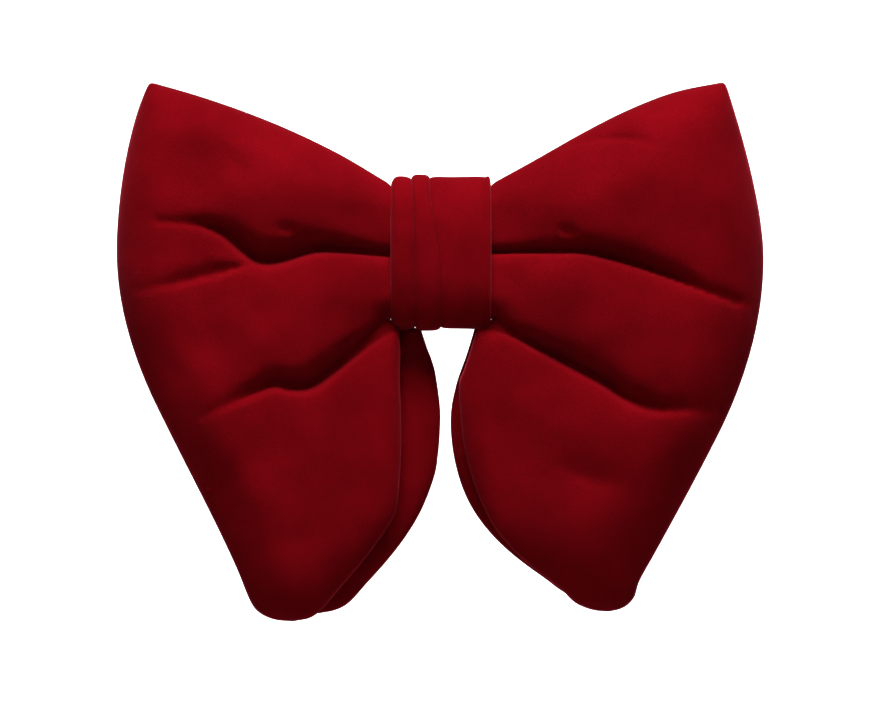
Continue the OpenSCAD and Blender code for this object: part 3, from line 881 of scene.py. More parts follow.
# The lift at the wrap's two side edges, which turn in
END_LIFT = -1.3
# The three creases between the parts of the wrap: their lifts at the back and at the front
CREASES = (1.0, 0.42), (1.1, 0.62), (1.3, 0.74)
# How far the wrap's highest pleat stands out past the plain CAD ring
WRAP_EASE = 0.6


def knot_ring(count, inset=0.0):
    """Points (y, z) and outward normals round the knot's rounded-box section, from its lower back up."""
    deep, tall = KNOT_HALF_D - inset, KNOT_HALF_H - inset
    fine = np.linspace(0, 2 * math.pi, 1441)
    power = 2 / KNOT_ROUND
    y = deep * np.sign(np.sin(fine)) * np.abs(np.sin(fine)) ** power
    z = -tall * np.sign(np.cos(fine)) * np.abs(np.cos(fine)) ** power
    ring = resample(np.stack([y, z], 1), np.linspace(0, 1, count + 1))[:-1]
    along = np.roll(ring, -1, 0) - np.roll(ring, 1, 0)
    normal = np.stack([-along[:, 1], along[:, 0]], 1)
    normal /= np.linalg.norm(normal, axis=1, keepdims=True)
    if (normal * ring).sum() < 0:
        normal = -normal
    return ring, normal


def pleat_edges(z):
    """The distances across the knot at which its pleats begin and end, at a height on the front."""
    down = np.clip((KNOT_HALF_H - z) / (2 * KNOT_HALF_H), 0, 1)
    first = mix(-6.9, -5.7, down) + 0.25 * np.sin(down * 5.2)
    second = mix(-2.7, -0.1, smooth(down * 1.5)) + 0.12 * np.sin(down * 6.4 + 1)
    return first, second


def build_knot(velvet, cloth_mm):
    """The velvet wrapped round the bow's middle: two soft pleats, a flat panel and a narrow turned hem."""
    ring, normal = knot_ring(KNOT_TURNS)
    half = KNOT_HALF_W
    columns, lifts = [], []
    hem = half - HEM_WIDTH
    for y, z in ring:
        front = smooth((-y / KNOT_HALF_D + 0.9) / 1.2)
        first, second = pleat_edges(z)
        front_lifts = (PLEAT_LIFT, RAISED_PLEAT_LIFT, PANEL_LIFT, HEM_LIFT)
        tops = [mix(back, ahead, front) for back, ahead in zip(BACK_LIFT, front_lifts)]
        creases = [mix(back, ahead, front) for back, ahead in CREASES]
        # Each part's ends, its points across, its lift, how flat its top is, and the lifts at its ends
        parts = [
            (-half, first, 17, tops[0], 2.6, END_LIFT, creases[0]),
            (first, second, 19, tops[1], 3.6, creases[0], creases[1]),
            (second, hem, 27, tops[2], 8.0, creases[1], creases[2]),
            (hem, half, 11, tops[3], 2.6, creases[2], END_LIFT),
        ]
        x_row, lift_row = [], []
        for from_x, to_x, count, lift, crown, start, end in parts:
            t = 0.5 - 0.5 * np.cos(np.linspace(0, math.pi, count))
            rise = (1 - np.abs(2 * t - 1) ** crown) ** 0.62
            x_row.append(mix(from_x, to_x, t)[:-1])
            lift_row.append((mix(start, end, t) + (lift - mix(start, end, t)) * rise)[:-1])
        columns.append(np.concatenate(x_row + [[half]]))
        lifts.append(np.concatenate(lift_row + [[END_LIFT]]))
    columns, lifts = np.array(columns), np.array(lifts)
    rows, cols = columns.shape
    wobble = lumps(np.stack([columns.ravel(), np.repeat(np.arange(rows) * 0.74, cols)], 1), 5.5, 41)
    lifts = lifts - RAISED_PLEAT_LIFT + WRAP_EASE + 0.16 * wobble.reshape(rows, cols)

    def surface(inset):
        y = KNOT_MID_Y + ring[:, :1] + normal[:, :1] * (lifts - inset)
        z = ring[:, 1:] + normal[:, 1:] * (lifts - inset)
        waist = 1 - 0.012 * (1 - (columns / half) ** 2)
        return np.stack([columns, y, z * waist], 2).reshape(-1, 3)

    faces = grid_faces(rows, cols, closed_rows=True)
    wrap = shell("knot_wrap_velvet", surface(0), surface(cloth_mm), faces)
    ready(wrap, HOME, ["knot_wrap"], velvet)
    return wrap


def build_lining(material):
    """The stiffening under the knot's velvet."""
    low, high = cad("knot_lining")
    ring, normal = knot_ring(96, (high[2] - KNOT_HALF_H) * -1 + RAISED_PLEAT_LIFT * 0.9)
    x = np.linspace(low[0], high[0], 24)
    thick = 0.7

    def surface(inset):
        y = np.repeat(KNOT_MID_Y + ring[:, :1] - normal[:, :1] * inset, len(x), 1)
        z = np.repeat(ring[:, 1:] - normal[:, 1:] * inset, len(x), 1)
        return np.stack([np.repeat(x[None], len(ring), 0), y, z], 2).reshape(-1, 3)

    faces = grid_faces(len(ring), len(x), closed_rows=True)
    lining = shell("knot_lining_felt", surface(0), surface(thick), faces)
    ready(lining, HOME, ["knot_lining"], material)
    return lining


def build_waist(name, low_y, high_y, velvet):
    """A bow's gathered middle, with its gathers running out to both wings."""
    half_h, half_d, mid_y = KNOT_HALF_H - 4.4, (high_y - low_y) / 2, (low_y + high_y) / 2
    turns, steps = 120, 27
    angle = np.linspace(0, 2 * math.pi, turns, endpoint=False)
    x = np.linspace(-NECK_END - 1.2, NECK_END + 1.2, steps)
    power = 2 / 3.2
    y = half_d * np.sign(np.cos(angle)) * np.abs(np.cos(angle)) ** power
    z = half_h * np.sign(np.sin(angle)) * np.abs(np.sin(angle)) ** power
    tight = 0.86 + 0.1 * (x / x[-1]) ** 2
    gathers = 1 + 0.035 * np.sin(angle * 17)[:, None] * (0.6 + 0.4 * np.cos(x * 0.5))[None]
    points = np.stack([
        np.repeat(x[None], turns, 0),
        mid_y + y[:, None] * tight[None] * gathers,
        z[:, None] * tight[None] * gathers,
    ], 2).reshape(-1, 3)
    faces = grid_faces(turns, steps, closed_rows=True)
    caps = [[i * steps for i in range(turns)], [i * steps + steps - 1 for i in range(turns)]]
    waist = face_outward(make_object(f"{name}_gathers", points, faces + caps))
    ready(waist, HOME, [name], velvet)
    return waist


def build_thread(material):
    """The thread wound round both gathered middles."""
    low, high = cad("waist_thread")
    radius = 0.3
    turns, per_turn = 5, 72
    half_h = high[2] - radius - 0.9
    half_d = (high[1] - low[1]) / 2 - radius - 0.9
    mid_y = (high[1] + low[1]) / 2
    a = np.linspace(0, 2 * math.pi * turns, turns * per_turn)
    power = 2 / 3.4
    x = mix(low[0] + radius, high[0] - radius, a / a[-1]) + 0.12 * np.sin(a * 3)
    y = mid_y + half_d * np.sign(np.sin(a)) * np.abs(np.sin(a)) ** power
    z = half_h * np.sign(np.cos(a)) * np.abs(np.cos(a)) ** power
    wound = sweep("waist_binding_thread", np.stack([x, y, z], 1), round_section(radius, 8), up=(1, 0, 0))
    return ready(wound, HOME, ["waist_thread"], material)


# ---------------------------------------------------------------- the neckband

STRAP_MM = 0.94
STRAP_HALF = BAND_HALF - 0.15
BAND_MID_R = NECK_R + 0.5
# Each side starts this far from the knot's middle, and its turned end starts this far before its bar.
MEETING_DEG = 0.06
BAR_GAP_DEG = 0.4
# Two angles from the knot that the short side carries in its blend.
BEND_FROM_DEG, BEND_TO_DEG = -40, -76
# The angle at which the stretch that comes back from the bar meets the slider's strap
RETURN_LOW_DEG = 134.6


def at_angle(angle_deg, radius):
    """A point on the ground plan; angles run from the knot towards the wearer's right hand."""
    a = math.radians(angle_deg)
    return np.array([radius * math.sin(a), -radius * math.cos(a), 0.0])


def arc(from_deg, to_deg, radius, step=1.2):
    """Points along an arc of the ground plan, a step of so many degrees apart."""
    count = max(3, int(abs(to_deg - from_deg) / step) + 1)
    return [at_angle(a, radius) for a in np.linspace(from_deg, to_deg, count)]


WIRE_R = 0.6
BAR_X = float(cad("eye_ring")[1][0]) - WIRE_R
BAR_R = NECK_R + 1.05 + WIRE_R
BAR_Y = math.sqrt(BAR_R**2 - BAR_X**2)
BAR_ANGLE = 180 - math.degrees(math.asin(BAR_X / BAR_R))
BAR_HALF = float(cad("slider")[1][2]) - WIRE_R
RETURN_MID_R = NECK_R + 1.1 + 0.5
LOOP_MID_R = 1.15
LEG_DEG = math.degrees(9.0 / BAR_R)


def turned_end():
    """The strap's path round the bar and back down its leg, for the right-hand side."""
    bar = at_angle(BAR_ANGLE, BAR_R)
    a = math.radians(BAR_ANGLE)
    outward = np.array([math.sin(a), -math.cos(a), 0.0])
    onward = np.array([math.cos(a), math.sin(a), 0.0])
    path = []
    for turn in np.linspace(-90, 90, 17):
        t = math.radians(turn)
        path.append(bar + LOOP_MID_R * (math.sin(t) * outward + math.cos(t) * onward))
    for t in np.linspace(0.14, 1, 9):
        path.append(at_angle(BAR_ANGLE - LEG_DEG * t, mix(BAR_R + LOOP_MID_R, RETURN_MID_R, smooth(t))))
    return path


def mirrored(path):
    """The same path on the wearer's left."""
    return [np.array([-p[0], p[1], p[2]]) for p in path]


def strap(name, path, nodes, body, material, blend=None):
    """A length of the band, with the line that it follows."""
    line = np.array(path)
    piece = sweep(name, line, strap_section(STRAP_MM, STRAP_HALF))
    ready(piece, body, nodes, material, blend)
    return piece, line


def build_neckband(velvet):
    """The long side with its turned end, the short side, and the stretch that comes back to the slider."""
    long_path = arc(MEETING_DEG, BAR_ANGLE - BAR_GAP_DEG, BAND_MID_R) + turned_end()
    short_path = mirrored(long_path)
    short_bend = (SHORT, at_angle(BEND_FROM_DEG, NECK_R) * MM, at_angle(BEND_TO_DEG, NECK_R) * MM)
    _, long_line = strap("neckband_long_side", long_path, ["neckband"], HOME, velvet)
    _, short_line = strap(
        "neckband_short_side_strap", short_path, ["neckband_short_side"], HOME, velvet, short_bend
    )
    high_deg = BAR_ANGLE - LEG_DEG
    back_path = arc(RETURN_LOW_DEG, high_deg, RETURN_MID_R, 0.8)
    back_bend = (SLIDER, at_angle(high_deg, RETURN_MID_R) * MM, at_angle(RETURN_LOW_DEG, RETURN_MID_R) * MM)
    _, back_line = strap(
        "neckband_return_strap", back_path, ["neckband_return"], HOME, velvet, back_bend
    )
    return long_line, short_line, back_line, short_bend, back_bend


# ---------------------------------------------------------------- the slider, the hook and the eye

SLIDER_R = RETURN_MID_R + 0.5 + 0.1 + WIRE_R
SLIDER_HALF = 5.5
SLIDER_DEG = 128.0
FRAME_CORNER = 1.9
# The radius at which the sewn end turns round the slider's middle bar
SEWN_LOOP_R = 1.15
# The y of the eye's far wire, which the hook's tongue turns round
EYE_Y = BAR_Y - 0.4 + 1.65
# The hook's plate: its half thickness, the rounding of its edges, and its tongue's bend and half width
PLATE_HALF, PLATE_EDGE = 0.4, 0.18
TONGUE_BEND, TONGUE_HALF = 1.25, 5.0


def at_slider(x, radius, z=0.0):
    """A point by the slider: x runs along the strap towards the knot, from the middle bar."""
    a = math.radians(SLIDER_DEG - 180)
    return np.array([x * math.cos(a) - radius * math.sin(a), x * math.sin(a) + radius * math.cos(a), z])


def build_slider(nickel, velvet):
    """The slider's frame, its middle bar and the straps that go round it."""
    normal = at_slider(0, 1)
    corners = [at_slider(x, SLIDER_R, z) for x, z in (
        (-SLIDER_HALF, -BAR_HALF), (SLIDER_HALF, -BAR_HALF), (SLIDER_HALF, BAR_HALF), (-SLIDER_HALF, BAR_HALF)
    )]
    path = rounded_path(corners, FRAME_CORNER, 7, closed=True)
    ring = sweep("slider_wire", path, round_section(WIRE_R), True, normal)
    ready(ring, SLIDER, ["slider"], nickel)
    bar_path = [at_slider(0, SLIDER_R, z) for z in np.linspace(-BAR_HALF, BAR_HALF, 9)]
    bar = sweep("slider_middle_bar", bar_path, round_section(WIRE_R), up=normal)
    ready(bar, SLIDER, [], nickel)
    build_slider_straps(velvet)


def crossing_path():
    """The strap's path over the slider's middle bar and under its outer bars."""
    hug, leave = 2.35, math.radians(20)
    down_x, reach = 4.6, 7.5

    def level(x):
        return np.array([x, math.sqrt(RETURN_MID_R**2 - x * x)])

    side = [np.array([0, SLIDER_R]) + hug * np.array([math.cos(a), math.sin(a)])
            for a in np.linspace(math.pi / 2, leave, 9)]
    p0, p3 = side[-1], level(down_x)
    p1 = p0 + np.array([math.sin(leave), -math.cos(leave)])
    p2 = p3 - np.array([1, 0])
    for t in np.linspace(0, 1, 9)[1:]:
        side.append((1 - t)**3 * p0 + 3 * (1 - t)**2 * t * p1 + 3 * (1 - t) * t * t * p2 + t**3 * p3)
    side += [level(x) for x in np.linspace(down_x, reach, 6)[1:]]
    flat = [np.array([-p[0], p[1]]) for p in side[:0:-1]] + side
    return [at_slider(x, y) for x, y in flat]


def build_slider_straps(velvet):
    """The strap over the slider's middle bar, and its own end sewn round that bar."""
    path = np.array(crossing_path())
    section = strap_section(STRAP_MM, STRAP_HALF)
    run = lengths_along(path)
    thin = np.clip((run[-1] - run) / 3.0, 0.22, 1)
    rings = np.repeat(section[None], len(path), 0)
    rings[:, :, 0] = (rings[:, :, 0] - STRAP_MM / 2) * thin[:, None] + STRAP_MM / 2
    crossing = sweep("slider_crossing_strap", path, rings)
    ready(crossing, SLIDER, ["slider_crossing"], velvet)
    turns = [at_slider(SEWN_LOOP_R * math.cos(a), SLIDER_R + SEWN_LOOP_R * math.sin(a))
             for a in np.linspace(0, 2 * math.pi, 28, endpoint=False)]
    loop = sweep("sewn_end_loop_strap", turns, section * [0.98, 1], closed=True)
    ready(loop, SLIDER, ["sewn_end_loop"], velvet)


def build_eye(nickel):
    """The ring at the long side's end, which the hook's tongue turns round."""
    normal = np.array([EYE_Y - BAR_Y, BAR_X, 0.0])
    corners = [(0, EYE_Y, -BAR_HALF), (BAR_X, BAR_Y, -BAR_HALF),
               (BAR_X, BAR_Y, BAR_HALF), (0, EYE_Y, BAR_HALF)]
    path = rounded_path(corners, FRAME_CORNER, 7, closed=True)
    eye = sweep("eye_ring_wire", path, round_section(WIRE_R), True, normal)
    return ready(eye, HOME, ["eye_ring"], nickel)


def build_hook(nickel):
    """A plate with a bent tongue, on a wire that the short side's end turns round."""
    plate_x, post, tongue_x = -7.8, -5.9, -2.6
    corners = [(plate_x + 0.9, BAR_Y, BAR_HALF), (-BAR_X, BAR_Y, BAR_HALF),
               (-BAR_X, BAR_Y, -BAR_HALF), (plate_x + 0.9, BAR_Y, -BAR_HALF)]
    wire_path = rounded_path(corners, FRAME_CORNER, 7)
    wire = sweep("hook_strap_bar", wire_path, round_section(WIRE_R), up=(0, 1, 0))
    ready(wire, SHORT, ["hook"], nickel)
    path = [np.array([x, BAR_Y, 0.0]) for x in np.linspace(plate_x, -0.2, 27)]
    path += [np.array([TONGUE_BEND * math.cos(a), EYE_Y + TONGUE_BEND * math.sin(a), 0.0])
             for a in np.linspace(-math.pi / 2, math.pi / 2, 19)]
    top = EYE_Y + TONGUE_BEND
    path += [np.array([-0.5, top, 0]), np.array([-1.0, top + 0.04, 0]), np.array([-1.4, top + 0.12, 0])]
    path = np.array(path)
    x = path[:, 0]
    half = mix(BAR_HALF + WIRE_R, TONGUE_HALF, smooth((x - post) / (tongue_x - post)))
    half[27:] = TONGUE_HALF
    half = np.where(path[:, 1] > top - 0.01, TONGUE_HALF - 0.5 * np.clip(-x - 0.2, 0, 1.2) ** 2, half)
    corner = np.linspace(0, math.pi / 2, 4)
    rings = []
    flat_half = PLATE_HALF - PLATE_EDGE
    for h in half:
        quarter = [(flat_half + PLATE_EDGE * math.cos(a), h - PLATE_EDGE + PLATE_EDGE * math.sin(a))
                   for a in corner]
        ring = quarter + [(-p, q) for p, q in quarter[::-1]]
        ring += [(-p, -q) for p, q in quarter] + [(p, -q) for p, q in quarter[::-1]]
        rings.append(ring)
    plate = sweep("hook_plate", path, rings)
    return ready(plate, SHORT, [], nickel)


# ---------------------------------------------------------------- stitches

def stitch_tree():
    """Geometry Nodes that sew along a line: stitches at an even spacing, slanted across it by an angle."""
    old = bpy.data.node_groups.get("Sew Along Line")
    if old:
        return old
    tree = bpy.data.node_groups.new("Sew Along Line", "GeometryNodeTree")
    face = tree.interface
    face.new_socket("Geometry", in_out="INPUT", socket_type="NodeSocketGeometry")
    for label in ("Spacing", "Stitch Length", "Thread Radius", "Slant"):
        face.new_socket(label, in_out="INPUT", socket_type="NodeSocketFloat")
    face.new_socket("Seed", in_out="INPUT", socket_type="NodeSocketInt")
    face.new_socket("Material", in_out="INPUT", socket_type="NodeSocketMaterial")
    face.new_socket("Geometry", in_out="OUTPUT", socket_type="NodeSocketGeometry")
    nodes, link = tree.nodes, tree.links.new

    def add(kind, **settings):
        node = nodes.new(kind)
        for key, value in settings.items():
            setattr(node, key, value)
        return node

    given = add("NodeGroupInput").outputs
    curve = add("GeometryNodeMeshToCurve")
    link(given["Geometry"], curve.inputs["Mesh"])
    spaced = add("GeometryNodeResampleCurve", mode="LENGTH")
    link(curve.outputs["Curve"], spaced.inputs["Curve"])
    link(given["Spacing"], spaced.inputs["Length"])
    across = add("GeometryNodeInputNamedAttribute", data_type="FLOAT_VECTOR")
    across.inputs["Name"].default_value = "across"
    parts = []
    tangent = add("GeometryNodeInputTangent")
    for function, vector in (("COSINE", tangent.outputs[0]), ("SINE", across.outputs[0])):
        share = add("ShaderNodeMath", operation=function)
        link(given["Slant"], share.inputs[0])
        scaled = add("ShaderNodeVectorMath", operation="SCALE")
        link(vector, scaled.inputs[0])
        link(share.outputs[0], scaled.inputs["Scale"])
        parts.append(scaled.outputs[0])
    total = add("ShaderNodeVectorMath", operation="ADD")
    link(parts[0], total.inputs[0])
    link(parts[1], total.inputs[1])
    turn = add("FunctionNodeAlignRotationToVector", axis="Z")
    link(total.outputs[0], turn.inputs["Vector"])
    bead = add("GeometryNodeMeshUVSphere")
    bead.inputs["Segments"].default_value = 8
    bead.inputs["Rings"].default_value = 6
    bead.inputs["Radius"].default_value = 1.0
    half = add("ShaderNodeMath", operation="MULTIPLY")
    link(given["Stitch Length"], half.inputs[0])
    half.inputs[1].default_value = 0.5
    size = add("ShaderNodeCombineXYZ")
    link(given["Thread Radius"], size.inputs[0])
    link(given["Thread Radius"], size.inputs[1])
    link(half.outputs[0], size.inputs[2])
    vary = add("FunctionNodeRandomValue", data_type="FLOAT")
    vary.inputs[2].default_value = 0.9
    vary.inputs[3].default_value = 1.06
    link(given["Seed"], vary.inputs["Seed"])
    shaped = add("GeometryNodeTransform")
    link(bead.outputs["Mesh"], shaped.inputs["Geometry"])
    link(size.outputs[0], shaped.inputs["Scale"])
    sewn = add("GeometryNodeInstanceOnPoints")
    link(spaced.outputs["Curve"], sewn.inputs["Points"])
    link(shaped.outputs["Geometry"], sewn.inputs["Instance"])
    link(turn.outputs["Rotation"], sewn.inputs["Rotation"])
    link(vary.outputs[1], sewn.inputs["Scale"])
    real = add("GeometryNodeRealizeInstances")
    link(sewn.outputs["Instances"], real.inputs["Geometry"])
    finish = add("GeometryNodeSetMaterial")
    link(real.outputs["Geometry"], finish.inputs["Geometry"])
    link(given["Material"], finish.inputs["Material"])
    link(finish.outputs["Geometry"], add("NodeGroupOutput").inputs["Geometry"])
    return tree


def sew(name, lines, spacing, length, radius, slant_deg, seed, material):
    """Stitches along lines of (points, across) in millimetres, as one plain mesh."""
    points = np.vstack([line for line, _ in lines])
    edges, start = [], 0
    for line, _ in lines:
        edges += [(start + i, start + i + 1) for i in range(len(line) - 1)]
        start += len(line)
    mesh = bpy.data.meshes.new(name + "_line")
    mesh.from_pydata((points * MM).tolist(), edges, [])
    across = mesh.attributes.new("across", "FLOAT_VECTOR", "POINT")
    across.data.foreach_set("vector", np.vstack([a for _, a in lines]).astype(np.float32).ravel())
    guide = bpy.data.objects.new(name + "_guide", mesh)
    bpy.context.scene.collection.objects.link(guide)
    tree = stitch_tree()
    modifier = guide.modifiers.new("Sew", "NODES")
    modifier.node_group = tree
    sockets = {item.name: item.identifier for item in tree.interface.items_tree if item.in_out == "INPUT"}
    values = {
        "Spacing": spacing * MM, "Stitch Length": length * MM, "Thread Radius": radius * MM,
        "Slant": math.radians(slant_deg), "Seed": seed, "Material": material,
    }
    for label, value in values.items():
        modifier[sockets[label]] = value
    graph = bpy.context.evaluated_depsgraph_get()
    result = bpy.data.meshes.new_from_object(guide.evaluated_get(graph), depsgraph=graph)
    guide.modifiers.remove(modifier)
    bpy.data.objects.remove(guide)
    bpy.data.meshes.remove(mesh)
    result.name = name
    result.polygons.foreach_set("use_smooth", [True] * len(result.polygons))
    stitches = bpy.data.objects.new(name, result)
    bpy.context.scene.collection.objects.link(stitches)
    return stitches


# The stitches' distance from a strap's edges
EDGE_INSET = 1.5
# Spacing, stitch length and thread radius in millimetres, and slant in degrees, of what is sewn by hand
WHIPSTITCH = (2.2, 2.8, 0.26, 62)
BAND_TACK = (2.2, 1.7, 0.26, 90)
BAR_TACK = (0.62, 1.2, 0.2, 68)
# Where the bar tacks lie along a turned end, as shares of its leg, and half their length
BAR_TACK_SHARES = (0.62, 0.8)
BAR_TACK_HALF = 6


def strap_lines(path, faces=(-1, 1), from_share=0.0):
    """Lines along both edges of a strap, on its faces."""
    path = np.array(path)
    path = resample(path, np.linspace(from_share, 1.0, max(8, len(path))))
    tangent = np.gradient(path, axis=0)
    side = np.cross(tangent, [0, 0, 1.0])
    side /= np.linalg.norm(side, axis=1, keepdims=True)
    lines = []
    for face in faces:
        for edge in (-1, 1):
            line = path + face * side * (STRAP_MM / 2 + 0.02) + [0, 0, edge * (BAND_HALF - EDGE_INSET)]
            lines.append((line, np.tile([0.0, 0.0, 1.0], (len(line), 1))))
    return lines


def straight(a, b, across):
    """A straight line to sew along, with the direction across it."""
    line = np.linspace(a, b, 12)
    return line, np.tile(np.array(across, float), (len(line), 1))


# ---------------------------------------------------------------- settings

class BowTieSizes(bpy.types.PropertyGroup):
    """Sizes that a user would change."""

    cloth: bpy.props.FloatProperty(
        name="Velvet Thickness", description="Thickness of the velvet", default=0.0009,
        min=0.0005, max=0.0012, subtype="DISTANCE", unit="LENGTH", precision=5,
    )
    fullness: bpy.props.FloatProperty(
        name="Fullness", description="How tightly the wings are stuffed", default=0.8,
        min=0.4, max=1.0, subtype="FACTOR",
    )
    stitch_spacing: bpy.props.FloatProperty(
        name="Stitch Spacing", description="Distance between the neckband's stitches", default=0.0026,
        min=0.0015, max=0.005, subtype="DISTANCE", unit="LENGTH", precision=5,
    )
    stitch_length: bpy.props.FloatProperty(
        name="Stitch Length", description="Length of one stitch", default=0.0019,
        min=0.001, max=0.004, subtype="DISTANCE", unit="LENGTH", precision=5,
    )
    thread: bpy.props.FloatProperty(
        name="Thread Radius", description="Radius of the sewing thread", default=0.00017,
        min=0.0001, max=0.0003, subtype="DISTANCE", unit="LENGTH", precision=5,
    )
    pile: bpy.props.FloatProperty(
        name="Pile Size", description="Size of the velvet's finest tufts", default=0.00045,
        min=0.0002, max=0.002, subtype="DISTANCE", unit="LENGTH", precision=5,
    )


class BowTieColours(bpy.types.PropertyGroup):
    """Colours that a user would change."""

    velvet: bpy.props.FloatVectorProperty(
        name="Velvet", description="Colour of the velvet", default=(0.19, 0.002, 0.005),
        min=0, max=1, subtype="COLOR",
    )
    thread: bpy.props.FloatVectorProperty(
        name="Thread", description="Colour of the thread", default=(0.13, 0.002, 0.006),
        min=0, max=1, subtype="COLOR",
    )
    metal: bpy.props.FloatVectorProperty(
        name="Fittings", description="Colour of the plated fittings", default=(0.44, 0.42, 0.39),
        min=0, max=1, subtype="COLOR",
    )
    stuffing: bpy.props.FloatVectorProperty(
        name="Stuffing", description="Colour of the wadding and the interlining", default=(0.8, 0.77, 0.7),
        min=0, max=1, subtype="COLOR",
    )
    floor: bpy.props.FloatVectorProperty(
        name="Floor", description="Colour of the floor and the cove", default=(0.8, 0.8, 0.8),
        min=0, max=1, subtype="COLOR",
    )


# How strongly the pile's edges bloom, and the band's brightness as a share of the bow's
BOW_SHEEN, BAND_SHEEN = 0.34, 0.22
BAND_SHADE = 0.92
FINISHES = {}


def finish_for(kind):
    """The material of one kind, made once."""
    if kind not in FINISHES:
        sizes, colours = bpy.context.scene.bow_tie_sizes, bpy.context.scene.bow_tie_colours
        band_colour = shade(colours.velvet, BAND_SHADE)
        makers = {
            "bow velvet": lambda: velvet_material("cut_velvet", colours.velvet, sizes.pile, BOW_SHEEN),
            "band velvet": lambda: velvet_material("band_velvet", band_colour, sizes.pile, BAND_SHEEN),
            "nickel": lambda: nickel_material(colours.metal),
            "thread": lambda: thread_material(colours.thread),
            "wadding": lambda: fibre_material("loose_wadding", colours.stuffing, 0.0011, 0.8),
            "felt": lambda: fibre_material("stiffening_felt", shade(colours.stuffing, 0.9), 0.0005, 0.5),
        }
        FINISHES[kind] = makers[kind]()
    return FINISHES[kind]


def build_wings(names, sizes):
    """The named wings, with the cloth thickness that the settings give."""
    velvet, wadding = finish_for("bow velvet"), finish_for("wadding")
    for name in names:
        build_wing(name, velvet, wadding, sizes.cloth / MM)


# ---------------------------------------------------------------- operators

class BOWTIE_OT_front_wings(bpy.types.Operator):
    """Make the two stuffed wings of the front bow"""

    bl_idname = "bow_tie.front_wings"
    bl_label = "Front Wings"

    def execute(self, context):
        build_wings(("left_front", "right_front"), context.scene.bow_tie_sizes)
        return {"FINISHED"}


class BOWTIE_OT_rear_wings(bpy.types.Operator):
    """Make the two stuffed wings of the rear bow"""

    bl_idname = "bow_tie.rear_wings"
    bl_label = "Rear Wings"

    def execute(self, context):
        build_wings(("left_rear", "right_rear"), context.scene.bow_tie_sizes)
        return {"FINISHED"}


class BOWTIE_OT_waists(bpy.types.Operator):
    """Make both bows' gathered middles and the thread wound round them"""

    bl_idname = "bow_tie.waists"
    bl_label = "Gathered Waists"

    def execute(self, context):
        velvet = finish_for("bow velvet")
        for name in ("front_bow_waist", "rear_bow_waist"):
            low, high = cad(name)
            build_waist(name, low[1] + 0.3, high[1] - 0.3, velvet)
        build_thread(finish_for("thread"))
        return {"FINISHED"}


class BOWTIE_OT_knot(bpy.types.Operator):
    """Make the pleated knot and the stiffening under it"""

    bl_idname = "bow_tie.knot"
    bl_label = "Knot"

    def execute(self, context):
        build_lining(finish_for("felt"))
        build_knot(finish_for("bow velvet"), context.scene.bow_tie_sizes.cloth / MM)
        return {"FINISHED"}


class BOWTIE_OT_neckband(bpy.types.Operator):
    """Make the neckband's straps and their stitches"""

    bl_idname = "bow_tie.neckband"
    bl_label = "Neckband"

    def execute(self, context):
        sizes = context.scene.bow_tie_sizes
        thread = finish_for("thread")
        long_line, short_line, back_line, short_bend, back_bend = build_neckband(finish_for("band velvet"))
        spacing, length, radius = sizes.stitch_spacing / MM, sizes.stitch_length / MM, sizes.thread / MM
        rows = (
            ("long_side_topstitching", strap_lines(long_line, from_share=0.01), None),
            ("short_side_topstitching", strap_lines(short_line, from_share=0.01), short_bend),
            ("return_topstitching", strap_lines(back_line, faces=(1,)), back_bend),
        )
        for seed, (name, lines, bend) in enumerate(rows):
            stitches = sew(name, lines, spacing, length, radius, 0, seed, thread)
            ready(stitches, HOME, [], None, bend)
        return {"FINISHED"}


class BOWTIE_OT_fittings(bpy.types.Operator):
    """Make the slider with its strap, the hook and the eye"""

    bl_idname = "bow_tie.fittings"
    bl_label = "Slider, Hook and Eye"

    def execute(self, context):
        nickel = finish_for("nickel")
        build_eye(nickel)
        build_hook(nickel)
        build_slider(nickel, finish_for("band velvet"))
        return {"FINISHED"}


class BOWTIE_OT_hand_sewing(bpy.types.Operator):
    """Sew the knot shut, tack the neckband to it, and close the straps' turned ends"""

    bl_idname = "bow_tie.hand_sewing"
    bl_label = "Hand Sewing"

    def execute(self, context):
        thread = finish_for("thread")
        low, high = cad("knot_seam_stitches")
        mid = (low + high) / 2
        seam = straight((low[0] + 1, high[1] - 0.3, mid[2]), (high[0] - 1, high[1] - 0.3, mid[2]), (0, 0, 1))
        whip = sew("knot_seam_whipstitches", [seam], *WHIPSTITCH, 7, thread)
        ready(whip, HOME, ["knot_seam_stitches"])
        low, high = cad("neckband_tacks")
        mid_y = (low[1] + high[1]) / 2
        edges = [straight((low[0] + 0.3, mid_y, z), (high[0] - 0.3, mid_y, z), (0, 1, 0))
                 for z in (low[2] + 0.3, high[2] - 0.3)]
        tacks = sew("neckband_tack_stitches", edges, *BAND_TACK, 8, thread)
        ready(tacks, HOME, ["neckband_tacks"])
        ends = []
        for share in BAR_TACK_SHARES:
            angle = BAR_ANGLE - LEG_DEG * share
            radius = mix(BAR_R + LOOP_MID_R, RETURN_MID_R, smooth(share)) + STRAP_MM / 2 + 0.06
            ends.append((at_angle(angle, radius), at_angle(angle + 90, 1)))
        for side, body, name, nodes in (
            (-1, SHORT, "short_side_bar_tacks", ["hook_loop_stitches"]),
            (1, HOME, "long_side_bar_tacks", []),
        ):
            lines = []
            for spot, across in ends:
                flip = np.array([side, 1, 1])
                foot = spot * flip
                up = np.array([0, 0, BAR_TACK_HALF])
                lines.append(straight(foot - up, foot + up, across * flip))
            if side > 0:
                lines = lines[:1]
            tacks = sew(name, lines, *BAR_TACK, 9, thread)
            ready(tacks, body, nodes)
        return {"FINISHED"}


